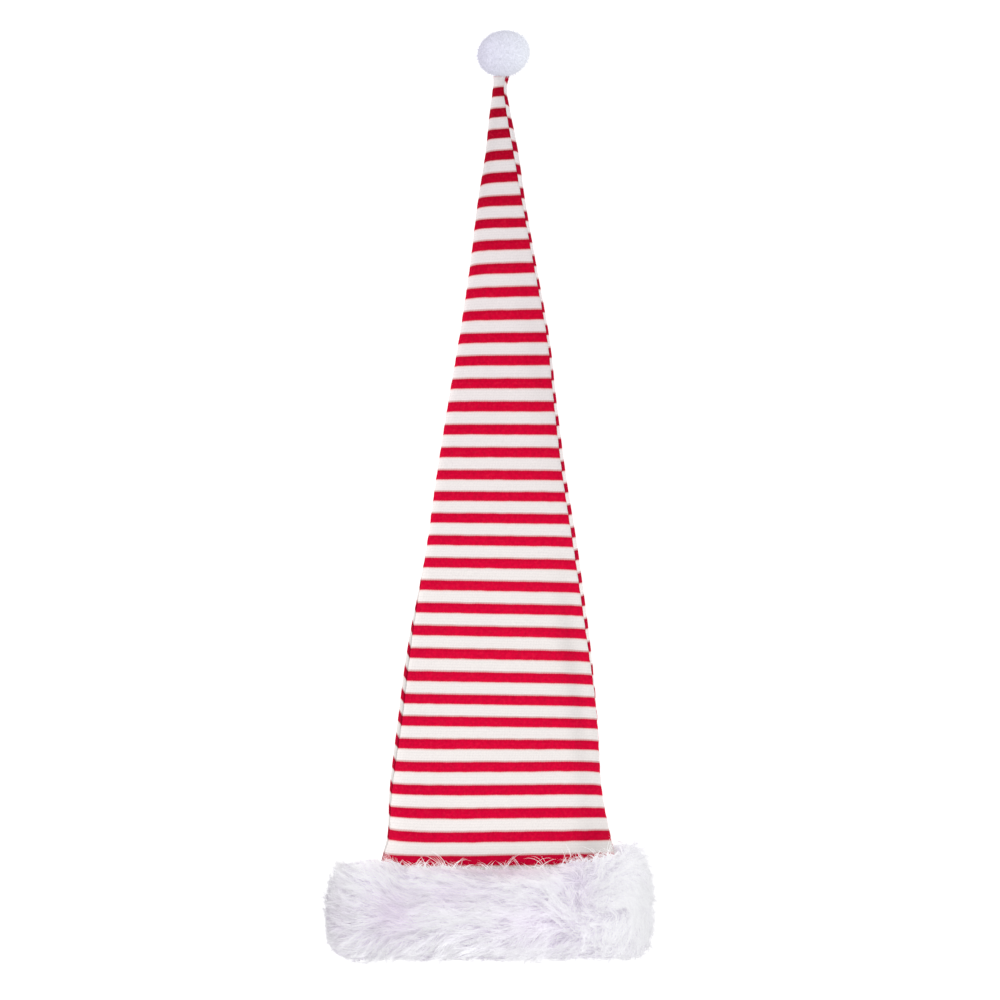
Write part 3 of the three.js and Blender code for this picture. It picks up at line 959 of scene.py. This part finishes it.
def cuff_profiles(fill, inset):
    """Grid of the cuff, filled to shares of its depth: for each place round it, a profile to the mouth."""
    side_fill, top_fill = fill
    outline_x, outline_z = (loops[0] for loops in section_loops(CUFF, *CUFF_QUARTER))
    rise, start, end = CUFF_UNDER_RISE
    behind = rise * rising(outline_z, *CUFF_UNDER_HEIGHTS) * rising(outline_x, start, end)
    crown_edge = cuff_crown_edge(outline_x) + behind
    rings = []
    for share in np.linspace(0, 1, CUFF_PROFILE):
        along = mix(crown_edge - inset, CUFF_MOUTH_END + inset, (1 - math.cos(math.pi * share)) / 2)
        hollow = section_loops(cuff_hollow(along), *CUFF_QUARTER)
        inside_x, inside_z = (np.diagonal(loops) for loops in hollow)
        fullness = abs(math.sin(math.pi * share)) ** CUFF_ROUNDNESS
        x = mix(inside_x, outline_x, fullness * side_fill)
        z = mix(inside_z, outline_z, fullness * top_fill)
        rings.append(np.stack([x, along, np.maximum(z, 0)], axis=-1))
    profiles = resampled(np.stack(rings, axis=1), CUFF_STEPS)
    closed = np.concatenate([profiles, profiles[:1]]).transpose(1, 0, 2)
    return resampled(closed, CUFF_PLACES + 1).transpose(1, 0, 2)[:-1]


class CuffSurface:
    """The pile's outer form, read at places round it and shares of the way to the mouth."""

    def __init__(self):
        self.points = cuff_profiles(FUR_FILL, FUR_INSET)
        self.roots = cuff_profiles(BASE_FILL, BASE_INSET)
        wrapped = np.concatenate([self.points[-2:], self.points, self.points[:2]])
        around = np.gradient(wrapped, axis=0)[2:-2]
        down = np.gradient(self.points, axis=1)
        self.normals = -grid_normals(wrapped)[2:-2]
        self.around = around * CUFF_PLACES
        self.down = down * (CUFF_STEPS - 1)
        self.areas = np.linalg.norm(np.cross(around, down), axis=-1)

    def read(self, grid, place, share):
        row = np.mod(place, 1.0) * CUFF_PLACES
        column = np.clip(share, 0, 1) * (CUFF_STEPS - 1)
        row_low = np.floor(row).astype(int) % CUFF_PLACES
        column_low = np.minimum(np.floor(column).astype(int), CUFF_STEPS - 2)
        row_share = (row - np.floor(row))[:, None]
        column_share = (column - column_low)[:, None]
        row_high = (row_low + 1) % CUFF_PLACES
        low = mix(grid[row_low, column_low], grid[row_low, column_low + 1], column_share)
        high = mix(grid[row_high, column_low], grid[row_high, column_low + 1], column_share)
        return mix(low, high, row_share)

    def stand(self, place, share):
        """Points on the pile's outer form, and the directions that face out of it there."""
        return self.read(self.points, place, share), unit(self.read(self.normals, place, share))

    def scatter(self, count, weight, rng):
        """Random places, by area times a weight for each grid point."""
        chances = (self.areas * weight).ravel()
        chosen = rng.choice(len(chances), size=count, p=chances / chances.sum())
        place = (chosen // CUFF_STEPS + rng.random(count)) / CUFF_PLACES
        share = (chosen % CUFF_STEPS + rng.random(count) - 0.5) / (CUFF_STEPS - 1)
        return place, np.clip(share, *ROOTS_BETWEEN)

    def step(self, place, share, move):
        """Places reached by moving along the surface."""
        shifts = []
        for grid in (self.around, self.down):
            way = self.read(grid, place, share)
            shifts.append(np.sum(move * way, axis=-1) / np.maximum(np.sum(way**2, axis=-1), 1.0))
        return place + shifts[0], share + shifts[1]


# Strands

def strand_piece(name, paths, radii, material, attributes):
    """Many strands in one mesh: three-sided tubes with a closed root and a pointed tip."""
    count, knots, _ = paths.shape
    tangents = unit(np.gradient(paths, axis=1))
    across = np.where(np.abs(tangents[..., 2:]) < STRAND_UPRIGHT, (0.0, 0.0, 1.0), (1.0, 0.0, 0.0))
    side = unit(np.cross(tangents, across))
    up = np.cross(side, tangents)
    rings = []
    for corner in range(3):
        angle = 2 * math.pi * corner / 3
        offset = side * math.cos(angle) + up * math.sin(angle)
        rings.append(paths[:, :-1] + offset[:, :-1] * radii[..., None])
    body = np.stack(rings, axis=2).reshape(count, -1, 3)
    vertices = np.concatenate([body, paths[:, -1:]], axis=1)
    vertices[..., 2] = np.maximum(vertices[..., 2], HAIR_FLOOR)
    quads = np.roll(grid_quads(knots - 1, 3, close_columns=True)[:, ::-1], 1, axis=1)
    tip = 3 * (knots - 1)
    ends = [(tip - 3 + (corner + 1) % 3, tip - 3 + corner, tip) for corner in range(3)] + [(0, 1, 2)]
    first = (np.arange(count) * (tip + 1))[:, None, None]
    faces = [(group + first).reshape(-1, group.shape[1]) for group in (quads, np.array(ends))]
    values = {}
    for label, given in attributes.items():
        spread = np.broadcast_to(given, (count, knots))
        values[label] = np.concatenate([np.repeat(spread[:, :-1], 3, axis=1), spread[:, -1:]], axis=1)
    return mesh_object(name, vertices.reshape(-1, 3), faces, material, values)


def tapered_radii(paths, thickness, rng):
    profile = np.linspace(1.0, STRAND_TAPER, paths.shape[1] - 1)
    return rng.uniform(*STRAND_THICKNESSES, size=(len(paths), 1)) * profile * thickness / 2


# Painted shade of the fur across the hat
def fur_shade(across):
    places, shades = zip(*FUR_SHADE_ACROSS)
    return np.interp(across, places, shades)


def fur_flow(points, normals):
    """Direction in which the fur lies: to the left, but parted near the right end, with swirls."""
    x = points[..., 0]
    y = points[..., 1]
    sideways = mix(-1.0, np.tanh((x - FUR_PARTING) / FUR_PARTING_WIDTH), rising(y, *FUR_PARTED))
    upwards = sum(amount * rising(x, *across) * rising(y, *along) for amount, across, along in FLOW_UPWARDS)
    swirl = sum(strength * soft_noise(points, length, seed) for strength, length, seed in FLOW_SWIRLS)
    flow_x = sideways * np.cos(swirl) - upwards * np.sin(swirl)
    flow_y = sideways * np.sin(swirl) + upwards * np.cos(swirl)
    flow = np.stack([flow_x, flow_y, np.full_like(x, FLOW_SINK)], axis=-1)
    return unit(flow - normals * np.sum(flow * normals, axis=-1, keepdims=True))


def held_back(points, direction, slack):
    """Directions without what would lead out of the cuff's outline."""
    from_middle = points[:, :2] - FUR_HOLD_MIDDLE
    from_middle[:, 1] -= FUR_HOLD_CLIMB * np.maximum(points[:, 0] - FUR_HOLD_CLIMB_FROM, 0.0)
    past = np.abs(from_middle) - (FUR_HOLD_HALF - FUR_HOLD_ROUND)
    past[:, 1] = np.where(from_middle[:, 1] < 0, past[:, 1], 0.0)
    corner = np.maximum(past, 0.0)
    beyond = np.linalg.norm(corner, axis=-1) - FUR_HOLD_ROUND - slack
    outward = np.sign(from_middle) * unit(corner)
    leaving = np.maximum(np.sum(direction[:, :2] * outward, axis=-1), 0.0)
    leaving *= rising(beyond, -FUR_HOLD_EASE, 0.0)
    held = direction.copy()
    held[:, :2] -= outward * leaving[:, None]
    return held


def fur_paths(surface, place, share, lengths, lift, stiffness, layer, rng):
    """Paths that rise from the backing to the pile's surface and follow its flow."""
    count = len(place)
    knots = layer["knots"]
    paths = np.empty((count, knots, 3))
    turn = rng.normal(scale=layer["turn"], size=count)
    wave = rng.uniform(0, 2 * math.pi, size=count)
    slack = rng.normal(scale=FUR_HOLD_SLACK, size=count)
    step = (lengths / (knots - 1))[:, None]
    ground, normals = surface.stand(place, share)
    turn *= 1 + FUR_TOUSLED_MORE * np.exp(-(((ground[:, 0] - FUR_TOUSLED) / FUR_TOUSLED_WIDTH) ** 2))
    points = surface.read(surface.roots, place, share) - ROOT_SINK * normals
    gap = np.sum((ground - points) * normals, axis=-1)
    pitch = np.clip(lift * gap / (RISE_SHARE * lengths), *PITCH_LIMITS)
    direction = None
    for knot in range(knots):
        paths[:, knot] = points
        flow = fur_flow(ground, normals)
        sideways = np.cross(normals, flow)
        sway = (turn + layer["sway"] * np.sin(wave + SWAY_STEP * knot))[:, None]
        climb = (pitch * (1 - PITCH_FALL * knot / (knots - 1)))[:, None]
        aim = unit(flow * np.cos(sway) + sideways * np.sin(sway) + normals * climb)
        direction = aim if direction is None else unit(mix(aim, direction, stiffness[:, None]))
        move = held_back(points, direction, slack) * step
        points = points + move
        points[:, 2] = np.minimum(points[:, 2], HAIR_CEILING)
        place, share = surface.step(place, share, move)
        ground, normals = surface.stand(place, share)
    return paths


def near_border(points):
    """1 at the cuff's ends and edges, seen from above, and 0 well inside."""
    to_end = np.minimum(points[:, 0] - CUFF["left"], CUFF["right"] - points[:, 0])
    to_edge = np.minimum(cuff_crown_edge(points[:, 0]) - points[:, 1], points[:, 1] - CUFF_MOUTH_END)
    return 1 - rising(to_end, *BORDER_ENDS) * rising(to_edge, *BORDER_EDGES)


def lock_paths(surface, layer, weight, rng):
    """Strands in locks, which start round a root and close up towards the tip."""
    locks = layer["locks"]
    strands = layer["strands"]
    knots = layer["knots"]
    place, share = surface.scatter(locks, weight, rng)
    ground, _ = surface.stand(place, share)
    border = near_border(ground)
    by_right = SHORT_AT_RIGHT_SHARE * rising(ground[:, 0], *SHORT_AT_RIGHT)
    lengths = rng.uniform(*layer["length"], size=locks) * mix(1.0, SHORTEST, np.maximum(border, by_right))
    wild = rng.random(locks) < layer["wild"] * (1 + WILD_AT_BORDER * border)
    lift = rng.uniform(*layer["lift"], size=locks) * np.where(wild, WILD_LIFT, 1.0)
    stiffness = np.where(wild, WILD_STIFFNESS, layer["stiffness"])
    guides = fur_paths(surface, place, share, lengths, lift, stiffness, layer, rng)
    reach = np.linspace(0, 1, knots)
    offsets = rng.normal(scale=layer["spread"], size=(locks, strands, 1, 3))
    closing = (1 - layer["closing"] * reach**CLOSING_POWER)[:, None]
    frizz = rng.normal(scale=FRIZZ, size=(locks, strands, knots, 3)) * reach[:, None]
    paths = guides[:, None] + offsets * closing + frizz
    trim = rng.uniform(*TRIM, size=(locks, strands, 1, 1))
    paths = paths[:, :, :1] + (paths - paths[:, :, :1]) * trim
    uneven = rng.normal(0, LOCK_TONES, size=(locks, 1)) + rng.normal(0, STRAND_TONES, size=(locks, strands))
    uneven = np.repeat(uneven.reshape(-1, 1), knots, axis=1)
    paths = paths.reshape(-1, knots, 3)
    across = paths[..., 0]
    # Random tone of locks and strands, with the painted shade across the hat and its painted patches
    tone_and_shade = fur_shade(across) + uneven * mix(*UNEVEN_SIDES, rising(across, *UNEVEN_ACROSS))
    # Painted lilac shade, painted light at the pale end and painted red reflection, as soft marks
    attributes = {label: soft_marks(rows, paths) for label, rows in FUR_MARKS.items()}
    return paths, {"reach": reach, "tone_and_shade": tone_and_shade - soft_marks(FUR_SHADES, paths), **attributes}


# Cuff pieces

def cuff_base_piece(surface, material):
    """The cuff without its hair: a closed ring of backing."""
    outside = surface.roots[::BASE_COARSER[0], ::BASE_COARSER[1]]
    places = len(outside)
    shares = (np.arange(LINING_STEPS) + 1) / (LINING_STEPS + 1)
    inside = mix(outside[:, -1:], outside[:, :1], shares[None, :, None])
    ring = np.concatenate([outside, inside], axis=1)
    count = ring.shape[1]
    quads = grid_quads(places, count, close_rows=True, close_columns=True)
    rim = outside[:, -1]
    steps = np.linalg.norm(np.roll(rim, -1, axis=0) - rim, axis=-1)
    around = np.cumsum(steps) - steps
    attributes = {
        "lining": np.tile(np.arange(count) >= outside.shape[1], (places, 1)),
        "course": ring[..., 1],
        "wale": np.repeat(np.minimum(around, steps.sum() - around), count),
    }
    return mesh_object("cuff_base", ring.reshape(-1, 3), [quads[:, ::-1]], material, attributes)


def cuff_lip_piece(surface, material):
    """Strands that lie on the lining and point out of the mouth."""
    rng = np.random.default_rng(LIP_SEED)
    place = rng.random(LIP_STRANDS)
    rim = surface.read(surface.roots, place, np.ones(LIP_STRANDS))
    back = surface.read(surface.roots, place, np.zeros(LIP_STRANDS))
    outward = unit(rim - back)
    around = unit(surface.read(surface.around, place, np.ones(LIP_STRANDS)))
    inward = unit(np.cross(around, outward))
    mouth_height = (MOUTH["rise"] + MOUTH["floor"]) / 2
    middle = np.stack([LIP_FACING * rim[:, 0], rim[:, 1], np.full(LIP_STRANDS, mouth_height)], axis=-1)
    inward *= np.where(np.sum(inward * (middle - rim), axis=-1, keepdims=True) < 0, -1.0, 1.0)
    depth = LIP_DEPTH * rng.random(LIP_STRANDS) ** LIP_CROWDING
    lengths = depth + rng.uniform(*LIP_PAST_RIM, size=LIP_STRANDS)
    lengths = np.minimum(lengths, rng.uniform(*LIP_LONGEST, size=LIP_STRANDS))
    lift = rng.uniform(*LIP_LIFT, size=LIP_STRANDS)
    lean = rng.normal(scale=LIP_LEAN, size=LIP_STRANDS)
    curl = rng.normal(scale=LIP_CURL, size=LIP_STRANDS)
    root = rim - outward * depth[:, None] - LIP_SINK * inward
    reach = np.linspace(0, 1, LIP_KNOTS)
    paths = np.empty((LIP_STRANDS, LIP_KNOTS, 3))
    for knot, share in enumerate(reach):
        ahead = (lengths * share)[:, None]
        sideways = ((lean + curl * share) * share * lengths)[:, None]
        rise = (lift * math.sin(LIP_ARCH * math.pi * share))[:, None]
        paths[:, knot] = root + outward * ahead + around * sideways + inward * rise
    # Painted shade across the hat, as on the fur
    attributes = {"reach": mix(*LIP_REACH, reach), "tone_and_shade": fur_shade(paths[..., 0])}
    return strand_piece("cuff_lip", paths, tapered_radii(paths, LIP_THICKNESS, rng), material, attributes)


def cuff_wisps_piece(surface, material):
    """Short thin tufts that lean out of the pile where it faces sideways."""
    rng = np.random.default_rng(WISP_SEED)
    count = WISP_TUFTS * WISP_STRANDS
    sideways = (1 - np.abs(surface.normals[..., 2])) ** 2 * rising(surface.points[..., 2], *WISP_OFF_FLOOR)
    ground, normals = surface.stand(*surface.scatter(WISP_TUFTS, sideways, rng))
    lean = rng.uniform(*WISP_LEAN, size=(WISP_TUFTS, 1))
    stray = rng.normal(scale=WISP_STRAY, size=(WISP_TUFTS, 3))
    aim = unit(normals + lean * fur_flow(ground, normals) + stray)
    bend = np.repeat(rng.normal(scale=WISP_BEND, size=(WISP_TUFTS, 3)), WISP_STRANDS, axis=0)
    lengths = rng.uniform(*WISP_LENGTH, size=(count, 1))
    root = np.repeat(ground - WISP_DEPTH * normals, WISP_STRANDS, axis=0)
    root += rng.normal(scale=WISP_SPREAD, size=(count, 3))
    lengths *= 1 + soft_marks(WISPS_LONGER, root)[:, None]
    aim = np.repeat(aim, WISP_STRANDS, axis=0) + rng.normal(scale=WISP_SPLAY, size=(count, 3))
    reach = np.linspace(0, 1, WISP_KNOTS)
    paths = np.stack([root + lengths * stage * (aim + stage * bend) for stage in reach], axis=1)
    # Painted shade across the hat and painted light at the pale end, as on the fur
    attributes = {
        "reach": mix(*WISP_REACH, reach),
        "tone_and_shade": WISP_TONE * fur_shade(paths[..., 0]),
        "pale_light": soft_marks(FUR_MARKS["pale_light"], paths),
    }
    return strand_piece("cuff_wisps", paths, tapered_radii(paths, WISP_THICKNESS, rng), material, attributes)


def cuff_fur_pieces(surface, material):
    """The cuff's hair in layers: short underfur, then longer locks over it."""
    facing = mix(ROOTS_FACING_DOWN, 1.0, rising(surface.normals[..., 2], 0.0, 1.0))
    free = rising(surface.points[..., 2], *ROOTS_OFF_FLOOR) * facing + ROOTS_LEAST
    by_mouth = rising(np.linspace(0, 1, CUFF_STEPS), *ROOTS_AT_LIP)
    free = np.maximum(free, ROOTS_AT_LIP_SHARE * by_mouth)
    rng = np.random.default_rng(FUR_SEED)
    pieces = [cuff_lip_piece(surface, material), cuff_wisps_piece(surface, material)]
    for row in FUR_LAYERS:
        layer = dict(zip(LAYER_COLUMNS, row))
        paths, attributes = lock_paths(surface, layer, free, rng)
        radii = tapered_radii(paths, layer["thickness"], rng)
        pieces.append(strand_piece(layer["name"], paths, radii, material, attributes))
    return pieces


def cuff_fringe_piece(material):
    """Thin curved hairs that stray over the lowest stripe."""
    rng = np.random.default_rng(FRINGE_SEED)
    middles, spreads, lengths = [], [], []
    for middle, spread, short_hairs, long_hairs in FRINGE_TUFTS:
        middles += [middle] * (short_hairs + long_hairs)
        spreads += [spread] * (short_hairs + long_hairs)
        lengths += list(rng.uniform(*FRINGE_SHORT, size=short_hairs))
        lengths += list(rng.uniform(*FRINGE_LONG, size=long_hairs))
    tufted = len(lengths)
    fuzz = np.concatenate([rng.uniform(start, end, size=hairs) for start, end, hairs in FUZZ_STRETCHES])
    count = tufted + len(fuzz)
    across = np.clip(np.append(rng.normal(middles, spreads), fuzz), *FRINGE_LIMITS)
    lengths = np.append(lengths, rng.uniform(*FUZZ_LENGTH, size=len(fuzz)))
    thickness = np.where(np.arange(count) < tufted, FRINGE_THICKNESS, FUZZ_THICKNESS)
    along = cuff_crown_edge(across) - rng.uniform(*FRINGE_START, size=count)
    lean = rng.normal(scale=FRINGE_LEAN, size=count)
    heading = math.pi / 2 + lean
    curl = np.sign(lean) * rng.uniform(*FRINGE_CURL, size=count)
    curl *= np.where(lengths > FRINGE_SHORT[1], FRINGE_LONG_CURL, 1.0)
    height = rng.uniform(*FRINGE_HEIGHT, size=count)
    bundle = np.arange(tufted) // FRINGE_BUNDLE * FRINGE_BUNDLE
    beside = across[bundle] + rng.normal(scale=BUNDLE_SPREAD, size=tufted)
    across[:tufted] = np.clip(beside, *FRINGE_LIMITS)
    along[:tufted] = along[bundle]
    heading[:tufted] = heading[bundle] + rng.normal(scale=BUNDLE_SPLAY, size=tufted)
    curl[:tufted] = curl[bundle] * rng.uniform(*BUNDLE_CURLS, size=tufted)
    paths = np.empty((count, FRINGE_KNOTS, 3))
    step = lengths / (FRINGE_KNOTS - 1)
    for knot in range(FRINGE_KNOTS):
        paths[:, knot] = np.stack([across, along, crown_top(across, along) + height], axis=-1)
        across = across + np.cos(heading) * step
        along = along + np.sin(heading) * step
        heading = heading + curl * step
    radii = tapered_radii(paths, thickness[:, None], rng)
    attributes = {"reach": np.linspace(*FRINGE_REACH, FRINGE_KNOTS), "tone_and_shade": 1.0}
    return strand_piece("cuff_fringe", paths, radii, material, attributes)


# Pompom pieces

def pompom_point(directions, inset):
    """Places below the pompom's slightly skewed outline, in unit directions."""
    skew = 1 + POMPOM_SKEW * 2 * directions[..., 0:1] * directions[..., 1:2]
    points = POMPOM_CENTRE + directions * skew * (POMPOM_HALF - inset)
    points[..., 2] = np.maximum(points[..., 2], POMPOM_FLOOR)
    return points


def pompom_looks(directions):
    """Painted light, a little less at the sides, and how far to the right places are, for painted shade at
    the left.
    """
    sideways = directions[..., 0]
    return {"tone_and_shade": 1 + POMPOM_MIDDLE_LIGHT * (1 - sideways**2), "side": (1 + sideways) / 2}


def pompom_core_piece(material):
    """The pompom's heart, pressed flat on the floor."""
    tilt = np.linspace(0, math.pi, POMPOM_RINGS)[1:-1, None]
    angle = np.linspace(0, 2 * math.pi, POMPOM_TURNS, endpoint=False)[None, :]
    level = np.cos(tilt) + 0 * angle
    directions = np.stack([np.sin(tilt) * np.cos(angle), np.sin(tilt) * np.sin(angle), level], axis=-1)
    ends = np.array(((0.0, 0.0, 1.0), (0.0, 0.0, -1.0)))
    directions = np.concatenate([directions.reshape(-1, 3), ends])
    vertices = pompom_point(directions, POMPOM_CORE_INSET)
    quads = grid_quads(POMPOM_RINGS - 2, POMPOM_TURNS, close_columns=True)[:, ::-1]
    turn = np.arange(POMPOM_TURNS)
    following = (turn + 1) % POMPOM_TURNS
    last = (POMPOM_RINGS - 3) * POMPOM_TURNS
    count = len(vertices)
    upper = np.stack([np.full(POMPOM_TURNS, count - 2), turn, following], axis=-1)
    under = np.stack([np.full(POMPOM_TURNS, count - 1), last + following, last + turn], axis=-1)
    attributes = {"reach": np.full(count, POMPOM_CORE_REACH), **pompom_looks(directions)}
    return mesh_object("pompom_core", vertices, [quads, upper, under], material, attributes)


def pompom_pile_piece(material):
    """Short fibres standing all over the pompom."""
    rng = np.random.default_rng(POMPOM_SEED)
    column = (POMPOM_FIBRES, 1)
    directions = unit(rng.normal(size=(POMPOM_FIBRES, 3)))
    leaning = unit(directions + rng.normal(scale=POMPOM_LEAN, size=(POMPOM_FIBRES, 3)))
    root = pompom_point(directions, POMPOM_ROOT_INSET)
    fuzz = rng.exponential(POMPOM_FUZZ, size=column) * (rng.random(column) < POMPOM_FUZZY)
    tip = pompom_point(leaning, rng.normal(*POMPOM_TIP_INSET, size=column) - fuzz)
    radii = rng.uniform(*POMPOM_FIBRE_RADII, size=column) * POMPOM_FIBRE_RADIUS
    attributes = {label: values[:, None] for label, values in pompom_looks(directions).items()}
    attributes["reach"] = np.array(POMPOM_REACH)
    return strand_piece("pompom_pile", np.stack([root, tip], axis=1), radii, material, attributes)


# Studio

def studio():
    """White floor that glows a little, soft lights, and the camera straight above."""
    scene = bpy.context.scene
    scene.view_settings.view_transform = "Standard"
    nodes = Nodes("floor")
    nodes.surface({"Base Color": FLOOR_GREY, "Roughness": 0.9})
    nodes.surface({"Emission Color": (1, 1, 1, 1), "Emission Strength": FLOOR_GLOW})
    corners = FLOOR_HALF * np.array(((-1, -1, 0), (1, -1, 0), (1, 1, 0), (-1, 1, 0)))
    floor = mesh_object("floor", corners, [np.array(((0, 1, 2, 3),))], nodes.material, {})
    floor.location.z = -FLOOR_DROP * MM
    scene.world = bpy.data.worlds.new("studio")
    scene.world.use_nodes = True
    background = scene.world.node_tree.nodes["Background"]
    background.inputs["Color"].default_value = SKY
    background.inputs["Strength"].default_value = SKY_STRENGTH
    for name, place, size, power in LIGHTS:
        data = bpy.data.lights.new(name, "AREA")
        data.shape = "DISK"
        data.size = size
        data.energy = power
        light = added(name, data)
        light.location = place
        light.rotation_euler = (-Vector(place)).to_track_quat("-Z", "Y").to_euler()
    data = bpy.data.cameras.new("camera")
    data.sensor_width = SENSOR
    data.lens = SENSOR * CAMERA_HEIGHT / PHOTO_WIDTH
    data.clip_end = CAMERA_REACH * MM
    camera = added("camera", data)
    camera.location = (VIEW_CENTRE[0] * MM, VIEW_CENTRE[1] * MM, CAMERA_HEIGHT * MM)
    scene.camera = camera


studio()

jersey = jersey_material()
front_face, back_face = crown_panels()
front_panel = panel_piece("front_panel_cloth", *front_face, jersey)
back_panel = panel_piece("back_panel_cloth", *back_face, jersey)
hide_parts("front_panel")
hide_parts("back_panel")

fur = fur_material()
pile_surface = CuffSurface()
cuff_base = cuff_base_piece(pile_surface, cuff_base_material())
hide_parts("fur_cuff")
cuff_hair = cuff_fur_pieces(pile_surface, fur)
cuff_fringe = cuff_fringe_piece(fur)

pile = pompom_material()
pompom_core = pompom_core_piece(pile)
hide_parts("pompom")
pompom_pile = pompom_pile_piece(pile)

slots = {
    "striped_jersey": [front_panel, back_panel],
    "cuff_fur": [cuff_base, *cuff_hair, cuff_fringe],
    "pompom_fibre": [pompom_core, pompom_pile],
}
for slot_name, members in slots.items():
    for member in members:
        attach(member, "root")
